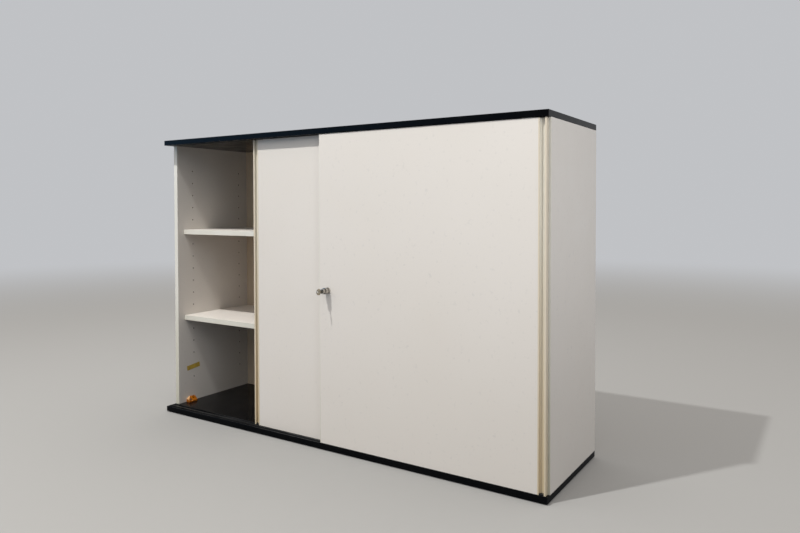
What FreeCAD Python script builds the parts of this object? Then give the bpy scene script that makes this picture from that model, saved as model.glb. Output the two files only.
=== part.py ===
import FreeCAD, Part
import math
import os
from FreeCAD import Vector

# Low office cabinet with two sliding doors, one in front of the other.
# Millimetres. X runs to the right, Y to the back, Z up. The origin is on the
# floor, under the middle of the cabinet's width and depth.

# ---- Carcass sizes ---------------------------------------------------------
CABINET_WIDTH = 1600.0
CABINET_DEPTH = 431.0
CABINET_HEIGHT = 1087.0
BOARD_THICKNESS = 19.0          # top and base boards
PANEL_THICKNESS = 19.0          # sides and middle partition
SHELF_THICKNESS = 19.0
BACK_THICKNESS = 4.0
BACK_REBATE = 8.0               # how far the backs reach over the boards round them
BACK_JOINT_GAP = 0.5            # between the two backs, on the partition
BOARD_BAND = 2.0                # edge band of the top and base boards
PANEL_BAND = 1.0                # edge band of panels and shelves
GLIDE_HEIGHT = 3.0
GLIDE_RADIUS = 15.0
GLIDE_FLATS = 18
GLIDE_INSET = 45.0              # from the board's edges to a corner glide's centre
ROD_FLATS = 8                   # the many small rods and holes are drawn with eight flats

# ---- Shelves and their pins ------------------------------------------------
PIN_DIAMETER = 5.0
PIN_HOLE_DEPTH = 12.0
PIN_HOLE_PITCH = 50.0
PIN_HOLE_MARGIN = 98.0          # from the base board's top to the lowest hole
PIN_COLUMN_INSET = 77.0         # from the left side's front edge to the front column
PIN_COLUMN_SPACING = 256.0
PIN_INSERTED = 9.0
PIN_PROUD = 10.0
SHELF_HOLES = {"lower": 5, "upper": 12}     # which hole up from the base carries each shelf
SHELF_PIN_RISE = 8.0            # from the shelf's underside to the pin's centre
SHELF_SETBACK = 31.0            # behind the left side's front edge
SHELF_END_GAP = 1.0
SHELF_BACK_GAP = 2.0
SHELF_NOTCH_WIDTH = 6.0
SHELF_NOTCH_END_GAP = 0.6

# ---- Fittings of the carcass -----------------------------------------------
CORNER_BLOCK_LENGTH = 39.0
CORNER_BLOCK_WIDTH = 22.0
CORNER_BLOCK_HEIGHT = 20.0
CORNER_BLOCK_LAND = 6.0         # upright face at its foot and flat on its crown
CORNER_BLOCK_CENTRE = 101.5     # from the cabinet's front to the blocks' middle
CORNER_BLOCK_WELL = 11.0        # length of each of its two screw wells
CORNER_BLOCK_WELL_WIDTH = 11.0
CORNER_BLOCK_FLOOR = 4.0        # plastic left under each screw head
DOWEL_RADIUS = 4.0
DOWEL_IN_BOARD = 12.0
DOWEL_IN_UPRIGHT = 18.0

# ---- Sliding doors ---------------------------------------------------------
DOOR_THICKNESS = 16.0
DOOR_REVEAL = 3.0               # front door's face behind the boards' front edge
DOOR_GAP = 5.0                  # between the two doors
DOOR_TO_PANEL_GAP = 6.0         # rear door's back to the left side's front edge
DOOR_TO_SIDE_GAP = 2.0          # front door's back to the right side's front edge
DOOR_END_INSET = 6.4            # closed door's outer edge inside the cabinet's end
FRONT_DOOR_PAST_MIDDLE = 6.4    # closed front door's inner edge past the cabinet's middle
DOOR_BOTTOM_GAP = 1.0
DOOR_TOP_GAP = 2.0
DOOR_STOP_GAP = 4.0             # rear door's last gap to the right side
REAR_DOOR_OPENING = 460.0       # how far the rear door stands open at rest

GRIP_WIDTH = 21.0
GRIP_LIP_WIDTH = 5.5
GRIP_LIP_DEPTH = 4.0
GRIP_LIP_ROUND = 1.2
GRIP_WALL = 2.0                 # outer wall behind the lip
GRIP_SKIN = 1.5                 # flange by the board, and walls round the hollow chamber
GRIP_FLOOR = 5.5                # from the bottom of the finger recess to the door's back
GRIP_COVE_RADIUS = 8.5
GRIP_TONGUE_LENGTH = 8.0
GRIP_TONGUE_THICKNESS = 3.0
GRIP_PLUG_HEIGHT = 5.0
GRIP_PLUG_SETBACK = 1.5

FRONT_DOOR_BAND = 2.0
CATCH_STRIP_THICKNESS = 2.0
CATCH_STRIP_PROUD = 3.5         # of the rear door's face

# ---- Tracks, rollers and guides --------------------------------------------
TRACK_END_INSET = 6.0
TRACK_LIP = 2.0
TRACK_WEB = 1.5
CHANNEL_COVER = 1.0             # how far a door's face reaches past its channel
CHANNEL_DEPTH = 7.0
BEAD_RADIUS = 1.0
BEAD_HEIGHT = 2.0
GUIDE_CHANNEL_DEPTH = 8.0
GUIDE_TONGUE_WIDTH = 6.4
GUIDE_TONGUE_LENGTH = 30.0
GUIDE_SIDE_GAP = 0.5
GUIDE_ROOF_GAP = 2.0
GUIDE_BODY_LENGTH = 40.0
GUIDE_BODY_HEIGHT = 28.0
GUIDE_INSET = 60.0              # from a door's edge to the guide's middle
STOP_LENGTH = 20.0
STOP_HEIGHT = 6.5
STOP_GAP = 0.5
POCKET_SKIN = 3.0               # door board left in front of a fitting's pocket
ROLLER_INSET = 80.0             # from a door's edge to the wheel's axis
ROLLER_RADIUS = 12.0
ROLLER_WIDTH = 6.0
ROLLER_RUN_GAP = 0.3
ROLLER_GROOVE = 1.5             # depth, and half the width, of its 90 degree groove
ROLLER_FLATS = 24
ROLLER_SIDE_GAP = 0.5
ROLLER_TIP_GAP = 1.0
AXLE_RADIUS = 2.0
AXLE_RUNNING_GAP = 0.05
ROLLER_HOUSING_ROOF = 18.0
ROLLER_HOUSING_END = 17.0

# ---- Push lock and key -----------------------------------------------------
LOCK_BACKSET = 35.4             # from the front door's inner edge
LOCK_HEIGHT = 519.0             # above the door's lower edge
LOCK_FLANGE_RIM = 0.5           # past the barrel
LOCK_FLANGE_THICKNESS = 5.0
LOCK_BARREL_WALL = 2.45
LOCK_BARREL_LENGTH = 20.0       # in front of the door
LOCK_BARREL_CHAMFER = 0.8
LOCK_GROOVE_WIDTH = 4.0         # ring groove between flange and barrel
LOCK_GROOVE_DEPTH = 1.2
LOCK_TUBE_WALL = 0.95           # round the plunger's bore, in the door
LOCK_RUNNING_GAP = 0.05
PLUNGER_RADIUS = 8.0
PLUNGER_PROUD = 12.0            # in front of the barrel when unlocked
PLUNGER_STROKE = 8.0
PLUNGER_ROUND = 1.2
PLUNGER_END_GAP = 1.0
BOLT_RADIUS = 4.0
BOLT_CLEARANCE = 1.0            # thrown bolt to the rear door's face
BOLT_SIDE_GAP = 3.0             # closed rear door's inner edge to the bolt
CORE_RADIUS = 5.45
CORE_LENGTH = 24.0
CORE_CROWN = 1.0
KEYWAY_WIDTH = 2.2
KEYWAY_HEIGHT = 8.0
KEY_THICKNESS = 2.0
KEY_BLADE_HEIGHT = 7.6
KEY_BLADE_LENGTH = 21.0
KEY_NECK_LENGTH = 6.5
KEY_NECK_HEIGHT = 9.0
KEY_BOW_RADIUS = 10.5
KEY_RING_HOLE_RADIUS = 3.2
KEY_RING_HOLE_OFFSET = 4.5      # from the bow's centre towards its tip

# ---- Places worked out from the sizes --------------------------------------
HALF_WIDTH = CABINET_WIDTH / 2
FRONT = -CABINET_DEPTH / 2
BACK = CABINET_DEPTH / 2
BASE_TOP = GLIDE_HEIGHT + BOARD_THICKNESS
TOP_BOTTOM = CABINET_HEIGHT - BOARD_THICKNESS
BACK_FACE = BACK - BACK_THICKNESS
SIDE_INNER = HALF_WIDTH - PANEL_THICKNESS
HALF_PARTITION = PANEL_THICKNESS / 2

FRONT_DOOR_FACE = FRONT + DOOR_REVEAL
REAR_DOOR_FACE = FRONT_DOOR_FACE + DOOR_THICKNESS + DOOR_GAP
LEFT_SIDE_FRONT = REAR_DOOR_FACE + DOOR_THICKNESS + DOOR_TO_PANEL_GAP
RIGHT_SIDE_FRONT = FRONT_DOOR_FACE + DOOR_THICKNESS + DOOR_TO_SIDE_GAP
DOOR_CLOSED_EDGE = HALF_WIDTH - DOOR_END_INSET
FRONT_DOOR_WIDTH = DOOR_CLOSED_EDGE + FRONT_DOOR_PAST_MIDDLE
DOOR_BOTTOM = BASE_TOP + DOOR_BOTTOM_GAP
DOOR_HEIGHT = TOP_BOTTOM - DOOR_TOP_GAP - DOOR_BOTTOM
REAR_DOOR_EDGE = -DOOR_CLOSED_EDGE + REAR_DOOR_OPENING
REAR_DOOR_LAST_EDGE = SIDE_INNER - DOOR_STOP_GAP

CHANNEL_WIDTH = DOOR_THICKNESS - 2 * CHANNEL_COVER
CHANNEL_CENTRES = (FRONT_DOOR_FACE + DOOR_THICKNESS / 2, REAR_DOOR_FACE + DOOR_THICKNESS / 2)
TRACK_HALF_LENGTH = HALF_WIDTH - TRACK_END_INSET
TRACK_HEIGHT = CHANNEL_DEPTH + TRACK_WEB
GUIDE_CHANNEL_WIDTH = GUIDE_TONGUE_WIDTH + 2 * GUIDE_SIDE_GAP
GUIDE_TRACK_HEIGHT = GUIDE_CHANNEL_DEPTH + TRACK_WEB

# The wheel's groove straddles the round bead with the same small gap on both walls.
HALF_ROOT = math.sqrt(0.5)
BEAD_CENTRE_Z = BASE_TOP - CHANNEL_DEPTH + BEAD_HEIGHT - BEAD_RADIUS
BEAD_ABOVE_GROOVE = (BEAD_RADIUS + ROLLER_RUN_GAP) / HALF_ROOT
AXLE_Z = BEAD_CENTRE_Z + ROLLER_RADIUS - ROLLER_GROOVE + BEAD_ABOVE_GROOVE

PIN_COLUMNS = (
    LEFT_SIDE_FRONT + PIN_COLUMN_INSET,
    LEFT_SIDE_FRONT + PIN_COLUMN_INSET + PIN_COLUMN_SPACING,
)
PIN_ROWS = int((TOP_BOTTOM - BASE_TOP - 2 * PIN_HOLE_MARGIN) / PIN_HOLE_PITCH + 1e-6) + 1
BAYS = {
    "left": (-SIDE_INNER, -HALF_PARTITION),
    "right": (HALF_PARTITION, SIDE_INNER),
}

LOCK_X = -FRONT_DOOR_PAST_MIDDLE + LOCK_BACKSET
LOCK_Z = DOOR_BOTTOM + LOCK_HEIGHT
REAR_DOOR_WIDTH = DOOR_CLOSED_EDGE + LOCK_X - BOLT_RADIUS - BOLT_SIDE_GAP
LOCK_CENTRE = Vector(LOCK_X, FRONT_DOOR_FACE, LOCK_Z)

UP = Vector(0, 0, 1)
RIGHT = Vector(1, 0, 0)
OUTWARD = Vector(0, -1, 0)


# ---- Shared shapes ---------------------------------------------------------
def block(x0, x1, y0, y1, z0, z1):
    """A square-edged block between two corners."""
    return Part.makeBox(x1 - x0, y1 - y0, z1 - z0, Vector(x0, y0, z0))


def rod(start, direction, radius, length):
    """A round rod from a start point."""
    return Part.makeCylinder(radius, length, start, direction)


def flat_ring(centre, direction, radius, sides):
    """A regular outline square to a direction, whose flats touch a circle inside it."""
    across = UP if abs(direction.z) < HALF_ROOT else RIGHT
    other = direction.cross(across)
    corner_radius = radius / math.cos(math.pi / sides)
    corners = []
    for index in range(sides):
        angle = 2 * math.pi * (index + 0.5) / sides
        corners.append(
            centre + across * (corner_radius * math.cos(angle)) + other * (corner_radius * math.sin(angle))
        )
    return polygon(corners)


def flat_rod(start, direction, radius, length):
    """A small rod or hole, drawn with flats that touch the round one inside it."""
    return extrude(flat_ring(start, direction, radius, ROD_FLATS), direction * length)


def flat_turned(points, start, direction, sides):
    """A turned piece drawn with flats, from (distance along axis, radius) points."""
    rings = [flat_ring(start + direction * along, direction, radius, sides) for along, radius in points]
    faces = [Part.Face(rings[0]), Part.Face(rings[-1])]
    for low, high in zip(rings, rings[1:]):
        lower = [vertex.Point for vertex in low.OrderedVertexes]
        upper = [vertex.Point for vertex in high.OrderedVertexes]
        for index in range(sides):
            near = lower[index - 1], lower[index]
            far = upper[index], upper[index - 1]
            faces.append(Part.Face(polygon([*near, *far])))
    shell = Part.makeShell(faces)
    shell.sewShape()
    return Part.makeSolid(shell)


def line(start, end):
    return Part.LineSegment(start, end).toShape()


def arc(start, middle, end):
    return Part.Arc(start, middle, end).toShape()


def polygon(points):
    """A closed flat outline through the points."""
    return Part.makePolygon([*points, points[0]])


def extrude(outline, path, *openings):
    """A straight extrusion of a closed outline, less its inner outlines."""
    face = Part.Face([outline, *openings]) if openings else Part.Face(outline)
    return face.extrude(path)


def turned(points, start, direction):
    """A turned piece from a half section of (distance along axis, radius) points."""
    side = UP
    half = [start + direction * along + side * radius for along, radius in points]
    return Part.Face(polygon(half)).revolve(start, direction, 360)


def save(name, *solids):
    """Write one named piece, or a set of like pieces, as a STEP file."""
    shape = solids[0] if len(solids) == 1 else Part.makeCompound(list(solids))
    shape.exportStep(os.path.join("parts", name + ".step"))


# ---- Base, top and their edge bands ----------------------------------------
def board_core(bottom, top):
    return block(
        -HALF_WIDTH + BOARD_BAND, HALF_WIDTH - BOARD_BAND, FRONT + BOARD_BAND, BACK, bottom, top
    )


def board_bands(bottom, top):
    """The front band runs the full width, and the end bands butt against its back."""
    front = block(-HALF_WIDTH, HALF_WIDTH, FRONT, FRONT + BOARD_BAND, bottom, top)
    left = block(-HALF_WIDTH, -HALF_WIDTH + BOARD_BAND, FRONT + BOARD_BAND, BACK, bottom, top)
    right = block(HALF_WIDTH - BOARD_BAND, HALF_WIDTH, FRONT + BOARD_BAND, BACK, bottom, top)
    return front, left, right


def back_rebate():
    """The space that both back panels fill, used to cut the rebate they sit in."""
    return block(
        -SIDE_INNER - BACK_REBATE,
        SIDE_INNER + BACK_REBATE,
        BACK_FACE,
        BACK,
        BASE_TOP - BACK_REBATE,
        TOP_BOTTOM + BACK_REBATE,
    )


def track_outer(width, bottom, top):
    """The full block of a double track, as wide as its two channels and three walls."""
    half = width / 2 + TRACK_LIP
    return block(
        -TRACK_HALF_LENGTH,
        TRACK_HALF_LENGTH,
        CHANNEL_CENTRES[0] - half,
        CHANNEL_CENTRES[1] + half,
        bottom,
        top,
    )


def glide_places():
    """Four corners and the middle, under the partition."""
    x = HALF_WIDTH - GLIDE_INSET
    y = BACK - GLIDE_INSET
    return [(-x, -y), (x, -y), (-x, y), (x, y), (0.0, 0.0)]


def dowels(end_z, board_side):
    """The dowels across one end of the uprights. board_side is -1 for the base, 1 for the top."""
    centre = HALF_WIDTH - PANEL_THICKNESS / 2
    low = end_z - (DOWEL_IN_BOARD if board_side < 0 else DOWEL_IN_UPRIGHT)
    length = DOWEL_IN_BOARD + DOWEL_IN_UPRIGHT
    return [
        flat_rod(Vector(x, y, low), UP, DOWEL_RADIUS, length)
        for x in (-centre, 0.0, centre)
        for y in PIN_COLUMNS
    ]


all_dowels = dowels(BASE_TOP, -1) + dowels(TOP_BOTTOM, 1)

base_board = board_core(GLIDE_HEIGHT, BASE_TOP).cut(
    [
        track_outer(CHANNEL_WIDTH, BASE_TOP - TRACK_HEIGHT, BASE_TOP),
        back_rebate(),
        *all_dowels,
    ]
)
top_board = board_core(TOP_BOTTOM, CABINET_HEIGHT).cut(
    [
        track_outer(GUIDE_CHANNEL_WIDTH, TOP_BOTTOM, TOP_BOTTOM + GUIDE_TRACK_HEIGHT),
        back_rebate(),
        *all_dowels,
    ]
)


def floor_glide(x, y):
    """A flat pad nailed under the base board, drawn with flats."""
    ring = flat_ring(Vector(x, y, 0), UP, GLIDE_RADIUS, GLIDE_FLATS)
    return extrude(ring, UP * GLIDE_HEIGHT)


# ---- Uprights with their pin holes -----------------------------------------
def pin_row_z(row):
    return BASE_TOP + PIN_HOLE_MARGIN + row * PIN_HOLE_PITCH


def pin_holes(x, length):
    return [
        flat_rod(Vector(x, y, pin_row_z(row)), RIGHT, PIN_DIAMETER / 2, length)
        for y in PIN_COLUMNS
        for row in range(PIN_ROWS)
    ]


left_side_panel = block(
    -HALF_WIDTH, -SIDE_INNER, LEFT_SIDE_FRONT + PANEL_BAND, BACK, BASE_TOP, TOP_BOTTOM
).cut(
    [
        back_rebate(),
        *pin_holes(-SIDE_INNER - PIN_HOLE_DEPTH, PIN_HOLE_DEPTH),
        *all_dowels,
    ]
)
right_side_panel = block(
    SIDE_INNER, HALF_WIDTH, RIGHT_SIDE_FRONT + PANEL_BAND, BACK, BASE_TOP, TOP_BOTTOM
).cut(
    [
        back_rebate(),
        *pin_holes(SIDE_INNER, PIN_HOLE_DEPTH),
        *all_dowels,
    ]
)
middle_partition = block(
    -HALF_PARTITION, HALF_PARTITION, LEFT_SIDE_FRONT + PANEL_BAND, BACK_FACE, BASE_TOP, TOP_BOTTOM
).cut(
    [
        *pin_holes(-HALF_PARTITION, PANEL_THICKNESS),
        *all_dowels,
    ]
)


def upright_band(x0, x1, front):
    return block(x0, x1, front, front + PANEL_BAND, BASE_TOP, TOP_BOTTOM)


def back_panel(x0, x1):
    return block(
        x0, x1, BACK_FACE, BACK, BASE_TOP - BACK_REBATE, TOP_BOTTOM + BACK_REBATE
    )


# ---- Corner blocks between the uprights and the base -----------------------
def corner_block(face_x, side, y):
    """A moulded block with a sloping face, one screw into the upright, one into the base."""
    section = [
        (0.0, 0.0),
        (CORNER_BLOCK_WIDTH, 0.0),
        (CORNER_BLOCK_WIDTH, CORNER_BLOCK_LAND),
        (CORNER_BLOCK_LAND, CORNER_BLOCK_HEIGHT),
        (0.0, CORNER_BLOCK_HEIGHT),
    ]
    start = y - CORNER_BLOCK_LENGTH / 2
    outline = [Vector(face_x + side * out, start, BASE_TOP + rise) for out, rise in section]
    body = extrude(polygon(outline), Vector(0, CORNER_BLOCK_LENGTH, 0))
    half_well = CORNER_BLOCK_WELL / 2
    quarter = CORNER_BLOCK_LENGTH / 4
    near, far = sorted((face_x + side * CORNER_BLOCK_FLOOR, face_x + side * CORNER_BLOCK_WIDTH))
    well_bottom = BASE_TOP + CORNER_BLOCK_FLOOR
    into_upright = block(
        near,
        far,
        y - quarter - half_well,
        y - quarter + half_well,
        well_bottom,
        well_bottom + CORNER_BLOCK_WELL_WIDTH,
    )
    well_far_side = CORNER_BLOCK_FLOOR + CORNER_BLOCK_WELL_WIDTH
    near, far = sorted((face_x + side * CORNER_BLOCK_FLOOR, face_x + side * well_far_side))
    into_base = block(
        near,
        far,
        y + quarter - half_well,
        y + quarter + half_well,
        well_bottom,
        BASE_TOP + CORNER_BLOCK_HEIGHT,
    )
    return body.cut([into_upright, into_base])


def all_corner_blocks():
    faces = ((-SIDE_INNER, 1), (HALF_PARTITION, 1), (SIDE_INNER, -1))
    return [corner_block(face_x, side, FRONT + CORNER_BLOCK_CENTRE) for face_x, side in faces]


# ---- Shelves on hidden pins ------------------------------------------------
SHELF_FRONT = LEFT_SIDE_FRONT + SHELF_SETBACK
SHELF_BACK = BACK_FACE - SHELF_BACK_GAP


def shelf(bay, row):
    """A loose shelf whose notched ends drop over the four pins."""
    x0 = BAYS[bay][0] + SHELF_END_GAP
    x1 = BAYS[bay][1] - SHELF_END_GAP
    bottom = pin_row_z(row) - SHELF_PIN_RISE
    board = block(x0, x1, SHELF_FRONT + PANEL_BAND, SHELF_BACK, bottom, bottom + SHELF_THICKNESS)
    notch_length = PIN_PROUD - SHELF_END_GAP + SHELF_NOTCH_END_GAP
    roof = pin_row_z(row) + PIN_DIAMETER / 2
    notches = []
    for y in PIN_COLUMNS:
        y0 = y - SHELF_NOTCH_WIDTH / 2
        y1 = y + SHELF_NOTCH_WIDTH / 2
        notches.append(block(x0, x0 + notch_length, y0, y1, bottom, roof))
        notches.append(block(x1 - notch_length, x1, y0, y1, bottom, roof))
    return board.cut(notches)


def shelf_band(bay, row):
    bottom = pin_row_z(row) - SHELF_PIN_RISE
    return block(
        BAYS[bay][0] + SHELF_END_GAP,
        BAYS[bay][1] - SHELF_END_GAP,
        SHELF_FRONT,
        SHELF_FRONT + PANEL_BAND,
        bottom,
        bottom + SHELF_THICKNESS,
    )


def shelf_pin(face_x, side, y, z):
    """A plain pin, half in the upright and half in the shelf's notch."""
    start = Vector(face_x - side * PIN_INSERTED, y, z)
    return flat_rod(start, RIGHT * side, PIN_DIAMETER / 2, PIN_INSERTED + PIN_PROUD)


def all_shelf_pins():
    pins = []
    for low_face, high_face in BAYS.values():
        for row in SHELF_HOLES.values():
            for y in PIN_COLUMNS:
                pins.append(shelf_pin(low_face, 1, y, pin_row_z(row)))
                pins.append(shelf_pin(high_face, -1, y, pin_row_z(row)))
    return pins


# ---- Double tracks ---------------------------------------------------------
def track_channels(width, bottom, top):
    return [
        block(-HALF_WIDTH, HALF_WIDTH, y - width / 2, y + width / 2, bottom, top)
        for y in CHANNEL_CENTRES
    ]


def track_tunnel(width, bottom, top):
    """The hollow between the two channels of an extruded track."""
    return block(
        -HALF_WIDTH,
        HALF_WIDTH,
        CHANNEL_CENTRES[0] + width / 2 + TRACK_WEB,
        CHANNEL_CENTRES[1] - width / 2 - TRACK_WEB,
        bottom,
        top,
    )


def running_bead(y):
    """The round-topped bead that a wheel's groove runs on."""
    x = -TRACK_HALF_LENGTH
    floor = BASE_TOP - CHANNEL_DEPTH
    low_left = Vector(x, y - BEAD_RADIUS, floor)
    high_left = Vector(x, y - BEAD_RADIUS, BEAD_CENTRE_Z)
    crown = Vector(x, y, BEAD_CENTRE_Z + BEAD_RADIUS)
    high_right = Vector(x, y + BEAD_RADIUS, BEAD_CENTRE_Z)
    low_right = Vector(x, y + BEAD_RADIUS, floor)
    outline = Part.Wire(
        [
            line(low_left, high_left),
            arc(high_left, crown, high_right),
            line(high_right, low_right),
            line(low_right, low_left),
        ]
    )
    return extrude(outline, RIGHT * 2 * TRACK_HALF_LENGTH)


def bottom_track():
    outer = track_outer(CHANNEL_WIDTH, BASE_TOP - TRACK_HEIGHT, BASE_TOP)
    floor = BASE_TOP - CHANNEL_DEPTH
    hollow = outer.cut(
        [
            *track_channels(CHANNEL_WIDTH, floor, BASE_TOP),
            track_tunnel(CHANNEL_WIDTH, floor, BASE_TOP - TRACK_WEB),
        ]
    )
    return hollow.fuse([running_bead(y) for y in CHANNEL_CENTRES]).removeSplitter()


def top_track():
    outer = track_outer(GUIDE_CHANNEL_WIDTH, TOP_BOTTOM, TOP_BOTTOM + GUIDE_TRACK_HEIGHT)
    roof = TOP_BOTTOM + GUIDE_CHANNEL_DEPTH
    return outer.cut(
        [
            *track_channels(GUIDE_CHANNEL_WIDTH, TOP_BOTTOM, roof),
            track_tunnel(GUIDE_CHANNEL_WIDTH, TOP_BOTTOM + TRACK_WEB, roof),
        ]
    )


def door_stop(y, tongue_end, side):
    """A block clipped in a guide channel, just past where a door's guide stops."""
    near = tongue_end + side * STOP_GAP
    far = near + side * STOP_LENGTH
    return block(
        min(near, far),
        max(near, far),
        y - GUIDE_CHANNEL_WIDTH / 2,
        y + GUIDE_CHANNEL_WIDTH / 2,
        TOP_BOTTOM + GUIDE_CHANNEL_DEPTH - STOP_HEIGHT,
        TOP_BOTTOM + GUIDE_CHANNEL_DEPTH,
    )


def all_door_stops():
    to_tongue = GUIDE_INSET - GUIDE_TONGUE_LENGTH / 2
    front_y, rear_y = CHANNEL_CENTRES
    return [
        door_stop(front_y, -DOOR_CLOSED_EDGE + to_tongue, -1),
        door_stop(front_y, DOOR_CLOSED_EDGE - to_tongue, 1),
        door_stop(rear_y, -DOOR_CLOSED_EDGE + to_tongue, -1),
        door_stop(rear_y, REAR_DOOR_LAST_EDGE - to_tongue, 1),
    ]


# ---- Door pieces, drawn once -----------------------------------------------
# A door is drawn with its grip edge at x = 0, its face at y = 0 and its foot at
# z = 0. The rear door is moved into place, and the front door is its mirror image.
def place_rear(shape):
    moved = shape.copy()
    moved.translate(Vector(REAR_DOOR_EDGE, REAR_DOOR_FACE, DOOR_BOTTOM))
    return moved


def place_front(shape):
    flipped = shape.mirror(Vector(0, 0, 0), RIGHT)
    flipped.translate(Vector(DOOR_CLOSED_EDGE, FRONT_DOOR_FACE, DOOR_BOTTOM))
    return flipped


MID_DOOR = DOOR_THICKNESS / 2
LOCAL_AXLE_Z = AXLE_Z - DOOR_BOTTOM
ROLLER_HOUSING_HEIGHT = LOCAL_AXLE_Z + ROLLER_RADIUS + ROLLER_TIP_GAP + ROLLER_HOUSING_ROOF
ROLLER_HOUSING_HALF = ROLLER_RADIUS + ROLLER_TIP_GAP + ROLLER_HOUSING_END
RECESS_FLOOR = DOOR_THICKNESS - GRIP_FLOOR
COVE_EDGE = GRIP_WIDTH - GRIP_SKIN
COVE_START = COVE_EDGE - GRIP_COVE_RADIUS
COVE_CENTRE = Vector(COVE_START, RECESS_FLOOR - GRIP_COVE_RADIUS, 0)


def cove(radius, first_angle, last_angle):
    """Part of a circle about the cove's centre. 0 points to the board, 90 to the back."""
    points = []
    for angle in (first_angle, (first_angle + last_angle) / 2, last_angle):
        turn = math.radians(angle)
        points.append(COVE_CENTRE + Vector(math.cos(turn), math.sin(turn), 0) * radius)
    return arc(*points)


def rounded_corner(corner, before, after):
    """A quarter round that replaces a square corner between two directions."""
    radius = GRIP_LIP_ROUND
    centre = corner + before * radius + after * radius
    middle = centre - (before + after) * (radius * HALF_ROOT)
    return arc(corner + before * radius, middle, corner + after * radius)


def grip_chamber():
    """The hollow behind the finger recess, deepest in the corner between cove and board."""
    radius = GRIP_COVE_RADIUS + GRIP_SKIN
    wall_x = GRIP_WIDTH - GRIP_SKIN
    back_y = DOOR_THICKNESS - GRIP_SKIN
    front_y = RECESS_FLOOR + GRIP_SKIN
    first = math.degrees(math.acos((wall_x - COVE_CENTRE.x) / radius))
    curve = cove(radius, first, 90)
    corners = [
        curve.Vertexes[-1].Point,
        Vector(GRIP_WALL, front_y, 0),
        Vector(GRIP_WALL, back_y, 0),
        Vector(wall_x, back_y, 0),
        curve.Vertexes[0].Point,
    ]
    walls = [line(a, b) for a, b in zip(corners, corners[1:])]
    return Part.Wire(Part.__sortEdges__([curve, *walls]))


def grip_profile():
    """The extruded pull of a door: a hooked lip, a coved finger recess and a tongue."""
    inward = Vector(1, 0, 0)
    back = Vector(0, 1, 0)
    outer_front = Vector(0, 0, 0)
    lip_corner = Vector(GRIP_LIP_WIDTH, 0, 0)
    under_lip = Vector(GRIP_LIP_WIDTH, GRIP_LIP_DEPTH - GRIP_LIP_ROUND, 0)
    hook_root = Vector(GRIP_WALL, GRIP_LIP_DEPTH + GRIP_LIP_WIDTH - GRIP_WALL, 0)
    recess_corner = Vector(GRIP_WALL, RECESS_FLOOR, 0)
    cove_start = Vector(COVE_START, RECESS_FLOOR, 0)
    cove_end = Vector(COVE_EDGE, COVE_CENTRE.y, 0)
    flange_inner = Vector(COVE_EDGE, 0, 0)
    flange_outer = Vector(GRIP_WIDTH, 0, 0)
    tongue_front = MID_DOOR - GRIP_TONGUE_THICKNESS / 2
    tongue_back = MID_DOOR + GRIP_TONGUE_THICKNESS / 2
    tongue_end = GRIP_WIDTH + GRIP_TONGUE_LENGTH
    points = [
        Vector(GRIP_WIDTH, tongue_front, 0),
        Vector(tongue_end, tongue_front, 0),
        Vector(tongue_end, tongue_back, 0),
        Vector(GRIP_WIDTH, tongue_back, 0),
        Vector(GRIP_WIDTH, DOOR_THICKNESS, 0),
        Vector(0, DOOR_THICKNESS, 0),
    ]
    edges = [
        rounded_corner(outer_front, back, inward),
        line(outer_front + inward * GRIP_LIP_ROUND, lip_corner - inward * GRIP_LIP_ROUND),
        rounded_corner(lip_corner, inward * -1, back),
        line(lip_corner + back * GRIP_LIP_ROUND, under_lip),
        line(under_lip, hook_root),
        line(hook_root, recess_corner),
        line(recess_corner, cove_start),
        cove(GRIP_COVE_RADIUS, 90, 0),
        line(cove_end, flange_inner),
        line(flange_inner, flange_outer),
        line(flange_outer, points[0]),
        *[line(a, b) for a, b in zip(points, points[1:])],
        line(points[-1], outer_front + back * GRIP_LIP_ROUND),
    ]
    outline = Part.Wire(Part.__sortEdges__(edges))
    return extrude(outline, UP * DOOR_HEIGHT, grip_chamber())


def grip_plug():
    """A black plug that closes the foot of the finger recess."""
    points = [
        Vector(COVE_EDGE, COVE_CENTRE.y, 0),
        Vector(COVE_EDGE, GRIP_PLUG_SETBACK, 0),
        Vector(GRIP_LIP_WIDTH, GRIP_PLUG_SETBACK, 0),
        Vector(GRIP_LIP_WIDTH, GRIP_LIP_DEPTH - GRIP_LIP_ROUND, 0),
        Vector(GRIP_WALL, GRIP_LIP_DEPTH + GRIP_LIP_WIDTH - GRIP_WALL, 0),
        Vector(GRIP_WALL, RECESS_FLOOR, 0),
        Vector(COVE_START, RECESS_FLOOR, 0),
    ]
    edges = [*[line(a, b) for a, b in zip(points, points[1:])], cove(GRIP_COVE_RADIUS, 90, 0)]
    return extrude(Part.Wire(Part.__sortEdges__(edges)), UP * GRIP_PLUG_HEIGHT)


def roller_places(door_width):
    return (ROLLER_INSET, door_width - ROLLER_INSET)


def guide_places(door_width):
    return (GUIDE_INSET, door_width - GUIDE_INSET)


def roller_pocket(x):
    return block(
        x - ROLLER_HOUSING_HALF,
        x + ROLLER_HOUSING_HALF,
        POCKET_SKIN,
        DOOR_THICKNESS,
        0,
        ROLLER_HOUSING_HEIGHT,
    )


def axle(x):
    length = DOOR_THICKNESS - POCKET_SKIN
    return rod(Vector(x, POCKET_SKIN, LOCAL_AXLE_Z), OUTWARD * -1, AXLE_RADIUS, length)


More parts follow.
